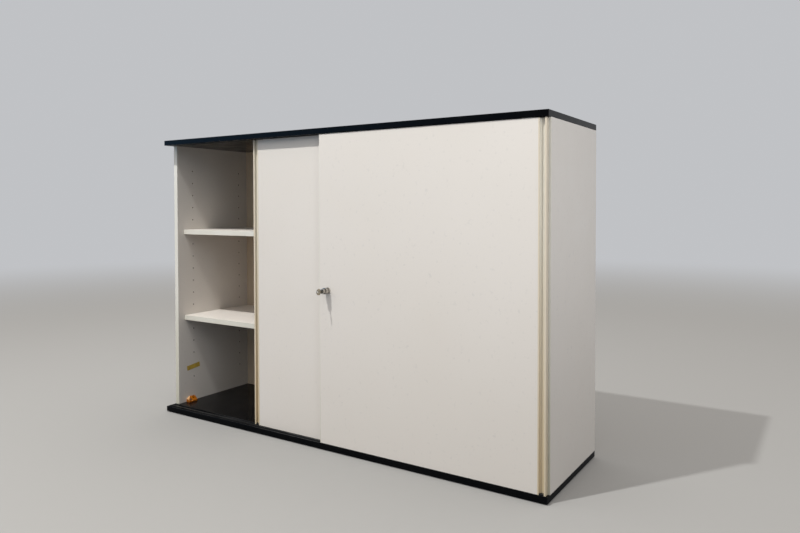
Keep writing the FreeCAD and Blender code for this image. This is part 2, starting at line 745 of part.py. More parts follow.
def roller_housing(x):
    """A block let into the door from behind, slotted from below for its wheel."""
    half_slot = ROLLER_RADIUS + ROLLER_TIP_GAP
    half_width = ROLLER_WIDTH / 2 + ROLLER_SIDE_GAP
    slot = block(
        x - half_slot,
        x + half_slot,
        MID_DOOR - half_width,
        MID_DOOR + half_width,
        0,
        LOCAL_AXLE_Z + half_slot,
    )
    axle_hole = flat_rod(
        Vector(x, POCKET_SKIN, LOCAL_AXLE_Z), OUTWARD * -1, AXLE_RADIUS, DOOR_THICKNESS - POCKET_SKIN
    )
    return roller_pocket(x).cut([slot, axle_hole])


def roller(x):
    """A wheel with a groove round its rim, drawn with flats."""
    half = ROLLER_WIDTH / 2
    backward = OUTWARD * -1
    section = [
        (-half, ROLLER_RADIUS),
        (-ROLLER_GROOVE, ROLLER_RADIUS),
        (0.0, ROLLER_RADIUS - ROLLER_GROOVE),
        (ROLLER_GROOVE, ROLLER_RADIUS),
        (half, ROLLER_RADIUS),
    ]
    wheel = flat_turned(section, Vector(x, MID_DOOR, LOCAL_AXLE_Z), backward, ROLLER_FLATS)
    bore_start = Vector(x, MID_DOOR - half, LOCAL_AXLE_Z)
    bore = flat_rod(bore_start, backward, AXLE_RADIUS + AXLE_RUNNING_GAP, ROLLER_WIDTH)
    return wheel.cut(bore)


def guide_pocket(x):
    half = GUIDE_BODY_LENGTH / 2
    return block(
        x - half, x + half, POCKET_SKIN, DOOR_THICKNESS, DOOR_HEIGHT - GUIDE_BODY_HEIGHT, DOOR_HEIGHT
    )


def top_guide(x):
    """A body let into the door's upper edge, with a tongue that runs in the top track."""
    half = GUIDE_TONGUE_LENGTH / 2
    rise = DOOR_TOP_GAP + GUIDE_CHANNEL_DEPTH - GUIDE_ROOF_GAP
    tongue = block(
        x - half,
        x + half,
        MID_DOOR - GUIDE_TONGUE_WIDTH / 2,
        MID_DOOR + GUIDE_TONGUE_WIDTH / 2,
        DOOR_HEIGHT,
        DOOR_HEIGHT + rise,
    )
    return guide_pocket(x).fuse(tongue)


def door_board(door_width, inner_strip):
    """The door's board, grooved for the grip's tongue and pocketed for its fittings."""
    board = block(GRIP_WIDTH, door_width - inner_strip, 0, DOOR_THICKNESS, 0, DOOR_HEIGHT)
    groove = block(
        GRIP_WIDTH,
        GRIP_WIDTH + GRIP_TONGUE_LENGTH,
        MID_DOOR - GRIP_TONGUE_THICKNESS / 2,
        MID_DOOR + GRIP_TONGUE_THICKNESS / 2,
        0,
        DOOR_HEIGHT,
    )
    pockets = [roller_pocket(x) for x in roller_places(door_width)]
    pockets += [guide_pocket(x) for x in guide_places(door_width)]
    return board.cut([groove, *pockets])


def edge_strip(door_width, thickness, proud):
    """A strip on a door's inner edge, which may stand proud of the door's face."""
    return block(door_width - thickness, door_width, -proud, DOOR_THICKNESS, 0, DOOR_HEIGHT)


# ---- Push lock -------------------------------------------------------------
LOCK_BORE_RADIUS = PLUNGER_RADIUS + LOCK_RUNNING_GAP
LOCK_TUBE_RADIUS = LOCK_BORE_RADIUS + LOCK_TUBE_WALL
LOCK_BARREL_RADIUS = LOCK_BORE_RADIUS + LOCK_BARREL_WALL
LOCK_FLANGE_RADIUS = LOCK_BARREL_RADIUS + LOCK_FLANGE_RIM
LOCK_GROOVE_RADIUS = LOCK_BARREL_RADIUS - LOCK_GROOVE_DEPTH
LOCK_GROOVE_END = LOCK_FLANGE_THICKNESS + LOCK_GROOVE_WIDTH
TUBE_END = -DOOR_THICKNESS
PLUNGER_BACK = 0.0
BORE_END = PLUNGER_BACK - PLUNGER_STROKE - PLUNGER_END_GAP
PLUNGER_FRONT = LOCK_BARREL_LENGTH + PLUNGER_PROUD
BOLT_TIP = -(DOOR_THICKNESS + DOOR_GAP - BOLT_CLEARANCE - PLUNGER_STROKE)
CORE_BACK = PLUNGER_FRONT - CORE_LENGTH


def lock_housing():
    """A turned barrel with a flange, a ring groove and a tube through the door."""
    section = [
        (TUBE_END, BOLT_RADIUS + LOCK_RUNNING_GAP),
        (TUBE_END, LOCK_TUBE_RADIUS),
        (0.0, LOCK_TUBE_RADIUS),
        (0.0, LOCK_FLANGE_RADIUS),
        (LOCK_FLANGE_THICKNESS, LOCK_FLANGE_RADIUS),
        (LOCK_FLANGE_THICKNESS, LOCK_GROOVE_RADIUS),
        (LOCK_GROOVE_END, LOCK_GROOVE_RADIUS),
        (LOCK_GROOVE_END, LOCK_BARREL_RADIUS),
        (LOCK_BARREL_LENGTH - LOCK_BARREL_CHAMFER, LOCK_BARREL_RADIUS),
        (LOCK_BARREL_LENGTH, LOCK_BARREL_RADIUS - LOCK_BARREL_CHAMFER),
        (LOCK_BARREL_LENGTH, LOCK_BORE_RADIUS),
        (BORE_END, LOCK_BORE_RADIUS),
        (BORE_END, BOLT_RADIUS + LOCK_RUNNING_GAP),
    ]
    return turned(section, LOCK_CENTRE, OUTWARD)


def lock_plunger():
    """The pushed barrel, rounded at its front and bored for the key's core."""
    section = [
        (PLUNGER_BACK, 0.0),
        (PLUNGER_BACK, PLUNGER_RADIUS),
        (PLUNGER_FRONT - PLUNGER_ROUND, PLUNGER_RADIUS),
        (PLUNGER_FRONT, PLUNGER_RADIUS - PLUNGER_ROUND),
        (PLUNGER_FRONT, CORE_RADIUS + LOCK_RUNNING_GAP),
        (CORE_BACK - LOCK_RUNNING_GAP, CORE_RADIUS + LOCK_RUNNING_GAP),
        (CORE_BACK - LOCK_RUNNING_GAP, 0.0),
    ]
    return turned(section, LOCK_CENTRE, OUTWARD)


def lock_bolt():
    """The bolt behind the plunger. Thrown, it stops the rear door's catch strip."""
    start = LOCK_CENTRE + OUTWARD * BOLT_TIP
    return rod(start, OUTWARD, BOLT_RADIUS, PLUNGER_BACK - BOLT_TIP)


def keyway_block(width, height, start, length):
    """An upright flat block on the lock's axis, from a distance in front of the door."""
    return block(
        LOCK_X - width / 2,
        LOCK_X + width / 2,
        FRONT_DOOR_FACE - start - length,
        FRONT_DOOR_FACE - start,
        LOCK_Z - height / 2,
        LOCK_Z + height / 2,
    )


def lock_core():
    """The turning core, with a crowned face and its keyway."""
    plain = rod(LOCK_CENTRE + OUTWARD * CORE_BACK, OUTWARD, CORE_RADIUS, CORE_LENGTH)
    crown = Part.makeCone(
        CORE_RADIUS,
        CORE_RADIUS - CORE_CROWN,
        CORE_CROWN,
        LOCK_CENTRE + OUTWARD * PLUNGER_FRONT,
        OUTWARD,
    )
    blade_end = PLUNGER_FRONT + CORE_CROWN - KEY_BLADE_LENGTH
    keyway = keyway_block(KEYWAY_WIDTH, KEYWAY_HEIGHT, blade_end, KEY_BLADE_LENGTH)
    return plain.fuse(crown).cut(keyway)


def key():
    """A flat key: blade in the core, neck, and a round bow with a ring hole."""
    face = PLUNGER_FRONT + CORE_CROWN
    blade = keyway_block(KEY_THICKNESS, KEY_BLADE_HEIGHT, face - KEY_BLADE_LENGTH, KEY_BLADE_LENGTH)
    neck = keyway_block(KEY_THICKNESS, KEY_NECK_HEIGHT, face, KEY_NECK_LENGTH)
    bow_centre = LOCK_CENTRE + OUTWARD * (face + KEY_NECK_LENGTH + KEY_BOW_RADIUS * HALF_ROOT)
    left_face = RIGHT * (-KEY_THICKNESS / 2)
    bow = rod(bow_centre + left_face, RIGHT, KEY_BOW_RADIUS, KEY_THICKNESS)
    hole_start = bow_centre + OUTWARD * KEY_RING_HOLE_OFFSET + left_face
    hole = rod(hole_start, RIGHT, KEY_RING_HOLE_RADIUS, KEY_THICKNESS)
    return blade.fuse([neck, bow]).removeSplitter().cut(hole)


# ---- Write the pieces ------------------------------------------------------
os.makedirs("parts", exist_ok=True)

save("base_board", base_board)
save("base_edge_bands", *board_bands(GLIDE_HEIGHT, BASE_TOP))
save("top_board", top_board)
save("top_edge_bands", *board_bands(TOP_BOTTOM, CABINET_HEIGHT))
save("floor_glides", *[floor_glide(x, y) for x, y in glide_places()])

save("left_side_panel", left_side_panel)
save("right_side_panel", right_side_panel)
save("middle_partition", middle_partition)
save("left_side_edge_band", upright_band(-HALF_WIDTH, -SIDE_INNER, LEFT_SIDE_FRONT))
save("right_side_edge_band", upright_band(SIDE_INNER, HALF_WIDTH, RIGHT_SIDE_FRONT))
save("partition_edge_band", upright_band(-HALF_PARTITION, HALF_PARTITION, LEFT_SIDE_FRONT))
save("left_back_panel", back_panel(-SIDE_INNER - BACK_REBATE, -BACK_JOINT_GAP / 2))
save("right_back_panel", back_panel(BACK_JOINT_GAP / 2, SIDE_INNER + BACK_REBATE))
save("corner_blocks", *all_corner_blocks())
save("joint_dowels", *all_dowels)

for bay in BAYS:
    for level, row in SHELF_HOLES.items():
        save(f"{level}_{bay}_shelf", shelf(bay, row))
        save(f"{level}_{bay}_shelf_band", shelf_band(bay, row))
save("shelf_pins", *all_shelf_pins())

save("bottom_track", bottom_track())
save("top_track", top_track())
save("door_stops", *all_door_stops())

lock_bore = rod(LOCK_CENTRE, OUTWARD * -1, LOCK_TUBE_RADIUS, DOOR_THICKNESS)
DOORS = {
    "rear_door": (place_rear, REAR_DOOR_WIDTH, CATCH_STRIP_THICKNESS, ("left", "right")),
    "front_door": (place_front, FRONT_DOOR_WIDTH, FRONT_DOOR_BAND, ("right", "left")),
}
for door, (place, width, inner_strip, ends) in DOORS.items():
    board = place(door_board(width, inner_strip))
    if door == "front_door":
        board = board.cut(lock_bore)
    save(door + "_panel", board)
    save(door + "_grip", place(grip_profile()))
    save(door + "_grip_plugs", place(grip_plug()))
    save(door + "_roller_housings", *[place(roller_housing(x)) for x in roller_places(width)])
    save(door + "_axles", *[place(axle(x)) for x in roller_places(width)])
    save(door + "_top_guides", *[place(top_guide(x)) for x in guide_places(width)])
    for end, x in zip(ends, roller_places(width)):
        save(f"{door}_{end}_roller", place(roller(x)))
catch_strip = edge_strip(REAR_DOOR_WIDTH, CATCH_STRIP_THICKNESS, CATCH_STRIP_PROUD)
save("rear_door_catch_strip", place_rear(catch_strip))
front_band = edge_strip(FRONT_DOOR_WIDTH, FRONT_DOOR_BAND, 0.0)
save("front_door_edge_band", place_front(front_band))

save("lock_housing", lock_housing())
save("lock_plunger", lock_plunger())
save("lock_bolt", lock_bolt())
save("lock_core", lock_core())
save("key", key())
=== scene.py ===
import math

import bmesh
import bpy
from mathutils import Euler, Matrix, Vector


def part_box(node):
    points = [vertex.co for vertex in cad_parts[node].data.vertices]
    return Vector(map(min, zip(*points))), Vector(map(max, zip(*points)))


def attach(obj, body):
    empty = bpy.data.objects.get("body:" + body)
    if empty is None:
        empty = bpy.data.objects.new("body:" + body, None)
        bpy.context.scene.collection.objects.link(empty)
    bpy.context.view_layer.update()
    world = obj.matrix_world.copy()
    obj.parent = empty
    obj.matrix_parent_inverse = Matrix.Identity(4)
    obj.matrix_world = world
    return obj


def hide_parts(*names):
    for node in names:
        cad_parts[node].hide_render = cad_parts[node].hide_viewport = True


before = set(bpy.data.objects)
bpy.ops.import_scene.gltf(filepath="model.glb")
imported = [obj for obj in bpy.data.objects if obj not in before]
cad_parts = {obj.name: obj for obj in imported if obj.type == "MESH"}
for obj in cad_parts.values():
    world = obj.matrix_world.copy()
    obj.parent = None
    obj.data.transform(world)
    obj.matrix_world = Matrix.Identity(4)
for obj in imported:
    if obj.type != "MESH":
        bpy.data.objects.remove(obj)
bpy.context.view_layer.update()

# ---- Studio -----------------------------------------------------------------
# A pale floor that fades into an even backdrop, under a lamp over the front, a soft-edged
# spot on the right side and a sky that fills in from above. What shines mirrors none of them,
# but a dark room with a bluish window on its left.
bpy.ops.object.select_all(action="DESELECT")
FLOOR_RADIUS = 14.0
FLOOR_NEAR = 3.0
FLOOR_FAR = 9.0
FLOOR_COLOUR = (0.30, 0.292, 0.28, 1)
FLOOR_BOUNCE = (0.14, 0.14, 0.145, 1)
BACKDROP_COLOUR = (0.53, 0.54, 0.56, 1)
UP = (0, 0, 1)
BACKDROP_WAY = (0.5, 0.86, 0.0)
WINDOW_WAY = (-0.92, -0.39, 0)
NO_LIGHT = (0, 0, 0)
ROOM_FRONT = (0.035, 0.04, 0.05)
ROOM_WINDOW = (0.22, 0.55, 1.0)
WINDOW_SPAN = (0.7, 0.97)
SKY_EVEN = (0.15, 0.23, 0.31)
SKY_ABOVE = (1.15, 1.04, 0.93)
SKY_RISE = (0.1, 0.55)
LAMP_COLOUR = (0.98, 1.0, 1.0)
SPOT_COLOUR = (0.92, 0.96, 1.0)
CAMERA_PLACE = (1.4603, -1.9803, 0.8216)
CAMERA_TURN = (math.radians(88.679), 0, math.radians(32.874))
CAMERA_ROLL = (0, 0, math.radians(-0.099))
CAMERA_LENS = 30.4632
CAMERA_SHIFT = -0.0549

bpy.ops.mesh.primitive_circle_add(vertices=96, radius=FLOOR_RADIUS, fill_type="NGON")
floor = bpy.context.object
floor.name = "studio_floor"
bpy.ops.object.mode_set(mode="EDIT")
bpy.ops.mesh.inset(thickness=FLOOR_RADIUS / 2)
bpy.ops.object.mode_set(mode="OBJECT")

floor_paint = bpy.data.materials.new("studio_floor_paint")
floor_paint.use_nodes = True
tree = floor_paint.node_tree
tree.nodes.clear()
place = tree.nodes.new("ShaderNodeTexCoord")
away = tree.nodes.new("ShaderNodeVectorMath")
away.operation = "LENGTH"
fade = tree.nodes.new("ShaderNodeMapRange")
fade.interpolation_type = "SMOOTHSTEP"
fade.inputs["From Min"].default_value = FLOOR_NEAR
fade.inputs["From Max"].default_value = FLOOR_FAR
ray = tree.nodes.new("ShaderNodeLightPath")
tint = tree.nodes.new("ShaderNodeMix")
tint.data_type = "RGBA"
tint.inputs[6].default_value = FLOOR_BOUNCE
tint.inputs[7].default_value = FLOOR_COLOUR
matt = tree.nodes.new("ShaderNodeBsdfDiffuse")
far_colour = tree.nodes.new("ShaderNodeEmission")
far_colour.inputs["Color"].default_value = BACKDROP_COLOUR
both = tree.nodes.new("ShaderNodeMixShader")
out = tree.nodes.new("ShaderNodeOutputMaterial")
tree.links.new(place.outputs["Object"], away.inputs[0])
tree.links.new(away.outputs["Value"], fade.inputs["Value"])
tree.links.new(ray.outputs["Is Camera Ray"], tint.inputs[0])
tree.links.new(tint.outputs[2], matt.inputs["Color"])
tree.links.new(fade.outputs["Result"], both.inputs["Fac"])
tree.links.new(matt.outputs["BSDF"], both.inputs[1])
tree.links.new(far_colour.outputs["Emission"], both.inputs[2])
tree.links.new(both.outputs["Shader"], out.inputs["Surface"])
floor.data.materials.append(floor_paint)

sky = bpy.data.worlds.new("studio_sky")
bpy.context.scene.world = sky
sky.use_nodes = True
tree = sky.node_tree
tree.nodes.clear()
out = tree.nodes.new("ShaderNodeOutputWorld")
way = tree.nodes.new("ShaderNodeTexCoord").outputs["Generated"]


def towards(direction, first, second, start=0.0, end=1.0):
    """A colour of the sky that goes from the first to the second as one looks in a direction."""
    dot = tree.nodes.new("ShaderNodeVectorMath")
    dot.operation = "DOT_PRODUCT"
    dot.inputs[1].default_value = direction
    rise = tree.nodes.new("ShaderNodeMapRange")
    rise.inputs["From Min"].default_value = start
    rise.inputs["From Max"].default_value = end
    share = tree.nodes.new("ShaderNodeMix")
    share.data_type = "RGBA"
    share.inputs[6].default_value = (*first, 1)
    share.inputs[7].default_value = (*second, 1)
    tree.links.new(way, dot.inputs[0])
    tree.links.new(dot.outputs["Value"], rise.inputs["Value"])
    tree.links.new(rise.outputs["Result"], share.inputs[0])
    return share.outputs[2]


glow = tree.nodes.new("ShaderNodeVectorMath")
glow.operation = "ADD"
glow.inputs[1].default_value = SKY_EVEN
tree.links.new(towards(UP, NO_LIGHT, SKY_ABOVE, *SKY_RISE), glow.inputs[0])
ray = tree.nodes.new("ShaderNodeLightPath")
seen = tree.nodes.new("ShaderNodeMath")
seen.operation = "MAXIMUM"
fill = tree.nodes.new("ShaderNodeBackground")
mirrored_room = tree.nodes.new("ShaderNodeBackground")
backdrop = tree.nodes.new("ShaderNodeBackground")
backdrop.inputs["Color"].default_value = BACKDROP_COLOUR
dull_or_shiny = tree.nodes.new("ShaderNodeMixShader")
both = tree.nodes.new("ShaderNodeMixShader")
tree.links.new(glow.outputs["Vector"], fill.inputs["Color"])
window = tree.nodes.new("ShaderNodeVectorMath")
window.operation = "ADD"
tree.links.new(towards(BACKDROP_WAY, ROOM_FRONT, BACKDROP_COLOUR[:3]), window.inputs[0])
tree.links.new(towards(WINDOW_WAY, NO_LIGHT, ROOM_WINDOW, *WINDOW_SPAN), window.inputs[1])
tree.links.new(window.outputs["Vector"], mirrored_room.inputs["Color"])
tree.links.new(ray.outputs["Is Glossy Ray"], dull_or_shiny.inputs["Fac"])
tree.links.new(fill.outputs["Background"], dull_or_shiny.inputs[1])
tree.links.new(mirrored_room.outputs["Background"], dull_or_shiny.inputs[2])
tree.links.new(ray.outputs["Is Camera Ray"], seen.inputs[0])
tree.links.new(ray.outputs["Is Transmission Ray"], seen.inputs[1])
tree.links.new(seen.outputs["Value"], both.inputs["Fac"])
tree.links.new(dull_or_shiny.outputs["Shader"], both.inputs[1])
tree.links.new(backdrop.outputs["Background"], both.inputs[2])
tree.links.new(both.outputs["Shader"], out.inputs["Surface"])


def lamp(name, kind, place, aim, power, colour, **shape):
    """Hangs a lamp of some kind and shape, which faces a point and isn't mirrored."""
    bpy.ops.object.light_add(type=kind, location=place)
    light = bpy.context.object
    light.name = name
    light.data.energy = power
    light.data.color = colour
    light.visible_glossy = False
    for setting, value in shape.items():
        setattr(light.data, setting, value)
    light.rotation_euler = (Vector(aim) - Vector(place)).to_track_quat("-Z", "Y").to_euler()


lamp(
    "lamp_over_front", "AREA", (-0.54, -2.17, 4.34), (0.0, -0.2, 0.5), 158, LAMP_COLOUR, size=0.09
)
lamp(
    "spot_right_side", "SPOT", (2.4, -1.4, 1.6), (0.8, 0.0, 0.93), 60, SPOT_COLOUR,
    spot_size=math.radians(42), spot_blend=1.0, shadow_soft_size=0.3,
)

bpy.ops.object.camera_add(location=CAMERA_PLACE)
camera = bpy.context.object
camera.name = "camera"
camera.data.sensor_width = 36.0
camera.data.lens = CAMERA_LENS
camera.data.shift_y = CAMERA_SHIFT
turn = Euler(CAMERA_TURN, "XYZ").to_matrix() @ Euler(CAMERA_ROLL, "XYZ").to_matrix()
camera.rotation_euler = turn.to_euler()
bpy.context.scene.camera = camera
bpy.context.scene.view_settings.view_transform = "Standard"

# ---- Base and top boards with their edge bands ---------------------------------
# Particle boards faced with black laminate that has a fine pebbled grain. The base is grooved
# for the door track. Glued black bands, 2 mm thick, close their fronts and ends. Their arrises
# are trimmed round and carry a mottled grey painted highlight, the base's front one widest.
MM = 0.001
TOUCH = 0.1 * MM
BOARD_BAND = 2 * MM
BOARD_ARRIS = 0.7 * MM
TREAD_ARRIS = 1.8 * MM
BLACK_LAMINATE = (0.0012, 0.0012, 0.0014)
DUSTY_BLACK = (0.0035, 0.0035, 0.0038)
BLACK_BAND = (0.0014, 0.0017, 0.0022)
# Grey of the painted highlight on the arrises, also mottled faintly over the track as wear.
WEAR_AND_HIGHLIGHT_GREY = (0.15, 0.15, 0.155)


def finish(name, colour, roughness, **values):
    """A new finish, its even values set on the shader's own sockets."""
    material = bpy.data.materials.new(name)
    material.use_nodes = True
    shader = material.node_tree.nodes["Principled BSDF"]
    shader.inputs["Base Color"].default_value = (*colour, 1)
    shader.inputs["Roughness"].default_value = roughness
    for socket, value in values.items():
        shader.inputs[socket.replace("_", " ")].default_value = value
    material.diffuse_color = (*colour, 1)
    return material


def part(material, kind, **values):
    """One node of a finish, with some of its inputs set."""
    made = material.node_tree.nodes.new(kind)
    for socket, value in values.items():
        made.inputs[socket.replace("_", " ")].default_value = value
    return made


def cloud(material, size, detail=2.0, stretch=(1, 1, 1)):
    """Cloudy mottling fixed to the piece. Its spots are about one size across, in metres."""
    coordinates = part(material, "ShaderNodeTexCoord")
    mapping = part(material, "ShaderNodeMapping", Scale=stretch)
    noise = part(material, "ShaderNodeTexNoise", Scale=1 / size, Detail=detail)
    links = material.node_tree.links
    links.new(coordinates.outputs["Object"], mapping.inputs["Vector"])
    links.new(mapping.outputs["Vector"], noise.inputs["Vector"])
    return noise.outputs["Fac"]


def spread(material, amount, low, high, start=0.35, end=0.65):
    """Stretches the middle part of a mottling between two values."""
    stretch = part(material, "ShaderNodeMapRange")
    for socket, value in zip(("From Min", "From Max", "To Min", "To Max"), (start, end, low, high)):
        stretch.inputs[socket].default_value = value
    material.node_tree.links.new(amount, stretch.inputs["Value"])
    return stretch.outputs["Result"]


def tinted(material, amount, other, under=None):
    """Mixes a second colour over the first by a mottling, and gives the mixture back."""
    shader = material.node_tree.nodes["Principled BSDF"]
    mix = part(material, "ShaderNodeMix")
    mix.data_type = "RGBA"
    mix.inputs[6].default_value = shader.inputs["Base Color"].default_value
    mix.inputs[7].default_value = (*other, 1)
    links = material.node_tree.links
    links.new(amount, mix.inputs[0])
    if under is not None:
        links.new(under, mix.inputs[6])
    links.new(mix.outputs[2], shader.inputs["Base Color"])
    return mix.outputs[2]


def sheen(material, amount):
    """Lets a mottling set how rough the surface is."""
    shader = material.node_tree.nodes["Principled BSDF"]
    material.node_tree.links.new(amount, shader.inputs["Roughness"])


def grain(material, amount, depth, strength=1.0):
    """Lets a mottling raise and lower the surface by a depth in metres."""
    shader = material.node_tree.nodes["Principled BSDF"]
    bump = part(material, "ShaderNodeBump", Strength=strength, Distance=depth)
    material.node_tree.links.new(amount, bump.inputs["Height"])
    material.node_tree.links.new(bump.outputs["Normal"], shader.inputs["Normal"])


def activate(piece):
    """Makes a piece the only one that is selected."""
    bpy.ops.object.select_all(action="DESELECT")
    piece.select_set(True)
    bpy.context.view_layer.objects.active = piece


def board(name, low, high):
    """A sawn length, brought to its size and place."""
    low, high = Vector(low), Vector(high)
    bpy.ops.object.select_all(action="DESELECT")
    bpy.ops.mesh.primitive_cube_add(size=1, location=(low + high) / 2, scale=high - low)
    piece = bpy.context.object
    piece.name = name
    bpy.ops.object.transform_apply(location=True, rotation=True, scale=True)
    return piece


def choose_edges(piece, test):
    """In edit mode, selects the edges whose middle and direction pass a test."""
    bpy.ops.mesh.select_mode(type="EDGE")
    bpy.ops.mesh.select_all(action="DESELECT")
    mesh = bmesh.from_edit_mesh(piece.data)
    for edge in mesh.edges:
        start, end = (point.co for point in edge.verts)
        if test((start + end) / 2, (end - start).normalized()):
            edge.select_set(True)
    bmesh.update_edit_mesh(piece.data)


def smoothed(piece, angle=35):
    """Smooth shading that leaves the flat faces flat."""
    activate(piece)
    bpy.ops.object.shade_smooth_by_angle(angle=math.radians(angle))
    piece.modifiers.new("flat_faces", "WEIGHTED_NORMAL").keep_sharp = True
    bpy.ops.object.modifier_apply(modifier="flat_faces")


def trimmed(piece, radius, test, steps=3):
    """Rounds the chosen edges, whose new faces take the piece's second finish."""
    activate(piece)
    bpy.ops.object.mode_set(mode="EDIT")
    choose_edges(piece, test)
    bpy.ops.mesh.bevel(offset=radius, segments=steps, affect="EDGES", material=1)
    bpy.ops.object.mode_set(mode="OBJECT")
    smoothed(piece)


def dress(piece, body, slot, nodes, *finishes):
    """Gives a piece its finishes and its body, and hides the nodes it stands for."""
    piece.data.materials.clear()
    for material in finishes:
        piece.data.materials.append(material)
    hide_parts(*nodes)
    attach(piece, body)


def refinish(material, *nodes):
    """Gives a node whose shape stays its finish."""
    for node in nodes:
        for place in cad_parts[node].material_slots:
            place.material = material


black_laminate = finish("black_laminate_face", BLACK_LAMINATE, 0.2, Specular_IOR_Level=0.08)
tinted(black_laminate, spread(black_laminate, cloud(black_laminate, 0.22, 5), 0, 1), DUSTY_BLACK)
sheen(black_laminate, spread(black_laminate, cloud(black_laminate, 0.05, 4), 0.14, 0.24))
grain(black_laminate, cloud(black_laminate, 0.9 * MM, 2), 0.05 * MM, 0.3)

black_band = finish("black_edge_band", BLACK_BAND, 0.2, Specular_IOR_Level=0.11)
tinted(black_band, spread(black_band, cloud(black_band, 0.12, 5, (1, 1, 3)), 0, 0.7), DUSTY_BLACK)
sheen(black_band, spread(black_band, cloud(black_band, 0.03, 4), 0.15, 0.26))
grain(black_band, cloud(black_band, 1.4 * MM, 3, (0.25, 0.25, 1)), 0.05 * MM, 0.5)

# Finish of the rounded arrises: its grey mottle is a painted highlight.
arris_highlight_band = finish("black_edge_band_painted_highlight", BLACK_BAND, 0.3)
wear_and_highlight_share = spread(arris_highlight_band, cloud(arris_highlight_band, 0.015, 6), 0, 1, 0.42, 0.62)
tinted(arris_highlight_band, wear_and_highlight_share, WEAR_AND_HIGHLIGHT_GREY)
sheen(arris_highlight_band, spread(arris_highlight_band, cloud(arris_highlight_band, 0.01, 3), 0.25, 0.42))

refinish(black_laminate, "base_board", "top_board")
for level in ("base", "top"):
    low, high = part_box(level + "_edge_bands")
    behind = low.y + BOARD_BAND
    strips = {
        "front": ((low.x, low.y, low.z), (high.x, behind, high.z)),
        "left": ((low.x, behind, low.z), (low.x + BOARD_BAND, high.y, high.z)),
        "right": ((high.x - BOARD_BAND, behind, low.z), (high.x, high.y, high.z)),
    }
    tread = high.z - TREAD_ARRIS if level == "base" else high.z
    for side, (near, far) in strips.items():
        strip = board(f"{level}_{side}_band", near, far)
        if side == "front":
            outer, below = low.y + TOUCH, tread + TOUCH
            if level == "base":
                trimmed(strip, TREAD_ARRIS, lambda spot, way: spot.y < outer and spot.z > tread)
            trimmed(strip, BOARD_ARRIS, lambda spot, way: spot.y < outer and spot.z < below)
        else:
            edge = low.x if side == "left" else high.x
            trimmed(strip, BOARD_ARRIS, lambda spot, way: abs(spot.x - edge) < TOUCH)
        dress(strip, "cabinet", "black_edging", [level + "_edge_bands"], black_band, arris_highlight_band)

# ---- Floor glides ---------------------------------------------------------------
# Round black plastic pads, 3 mm high, nailed under the four corners and the middle of the
# base. Each is moulded with a rounded rim and a dished centre for its nail.
GLIDE_RADIUS = 15 * MM
BLACK_PLASTIC = (0.018, 0.018, 0.019)


def traced(name, points):
    """A new piece that is only a line run from point to point. It is left in edit mode."""
    bpy.ops.object.select_all(action="DESELECT")
    bpy.ops.mesh.primitive_plane_add(size=MM, location=points[0])
    piece = bpy.context.object
    piece.name = name
    bpy.ops.object.mode_set(mode="EDIT")
    bpy.ops.mesh.select_mode(type="VERT")
    bpy.ops.mesh.select_all(action="SELECT")
    bpy.ops.mesh.merge(type="CENTER")
    for here, there in zip(points, points[1:]):
        bpy.ops.mesh.extrude_vertices_move(TRANSFORM_OT_translate={"value": there - here})
    bpy.ops.mesh.select_all(action="SELECT")
    return piece


def closed(piece):
    """Closes the seams of a piece in edit mode, turns its faces out and sets its place."""
    bpy.ops.mesh.select_all(action="SELECT")
    bpy.ops.mesh.remove_doubles(threshold=1e-6)
    bpy.ops.mesh.normals_make_consistent(inside=False)
    bpy.ops.object.mode_set(mode="OBJECT")
    bpy.ops.object.transform_apply(location=True, rotation=True, scale=True)
    return piece


def turned(name, centre, axis, outline, steps=48):
    """A turned piece. Its half outline is (distance along the axis, radius), in millimetres."""
    centre, axis = Vector(centre), Vector(axis)
    across = Vector((1, 0, 0)) if abs(axis.z) > 0.5 else Vector((0, 0, 1))
    points = [centre + axis * (along * MM) + across * (radius * MM) for along, radius in outline]
    piece = traced(name, points)
    bpy.ops.mesh.spin(steps=steps, angle=2 * math.pi, center=centre, axis=axis)
    closed(piece)
    smoothed(piece)
    return piece


def copied(piece, name, move):
    """A copy of a piece with its own mesh, moved from the first one's place."""
    activate(piece)
    bpy.ops.object.duplicate(linked=False)
    twin = bpy.context.object
    twin.name = name
    bpy.ops.transform.translate(value=move)
    bpy.ops.object.transform_apply(location=True, rotation=True, scale=True)
    return twin


def joined(name, pieces):
    """Like pieces brought together under one name."""
    activate(pieces[0])
    for piece in pieces[1:]:
        piece.select_set(True)
    bpy.ops.object.join()
    pieces[0].name = name
    return pieces[0]


black_plastic = finish("moulded_black_plastic", BLACK_PLASTIC, 0.42)
sheen(black_plastic, spread(black_plastic, cloud(black_plastic, 0.008, 3), 0.34, 0.52))
grain(black_plastic, cloud(black_plastic, 0.5 * MM, 2), 0.03 * MM, 0.5)

low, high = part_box("floor_glides")
glide_outline = [
    (3.0, 0.0), (3.0, 15.0), (1.0, 15.0), (0.45, 14.7), (0.1, 14.2), (0.0, 13.4),
    (0.0, 5.6), (0.3, 5.1), (0.9, 4.4), (1.0, 3.6), (1.0, 0.0),
]
corner = (low.x + GLIDE_RADIUS, low.y + GLIDE_RADIUS, 0)
first = turned("glide_1", corner, (0, 0, 1), glide_outline)
across = high.x - low.x - 2 * GLIDE_RADIUS
along = high.y - low.y - 2 * GLIDE_RADIUS
glides = [first]
for move in ((across, 0, 0), (0, along, 0), (across, along, 0), (across / 2, along / 2, 0)):
    glides.append(copied(first, "glide_copy", move))
dress(joined("nailed_glides", glides), "cabinet", "black_plastic", ["floor_glides"], black_plastic)

# ---- Dowels ---------------------------------------------------------------------
# Plain beech dowels, glued half in the boards and half in the ends of the uprights. The
# grain runs along them.
BEECH = (0.55, 0.36, 0.19)
PALE_BEECH = (0.66, 0.47, 0.28)
beech = finish("plain_beech", BEECH, 0.6)
tinted(beech, spread(beech, cloud(beech, 1.5 * MM, 4, (1, 1, 0.06)), 0, 1), PALE_BEECH)
grain(beech, cloud(beech, 0.8 * MM, 3, (1, 1, 0.05)), 0.05 * MM)
refinish(beech, "joint_dowels")

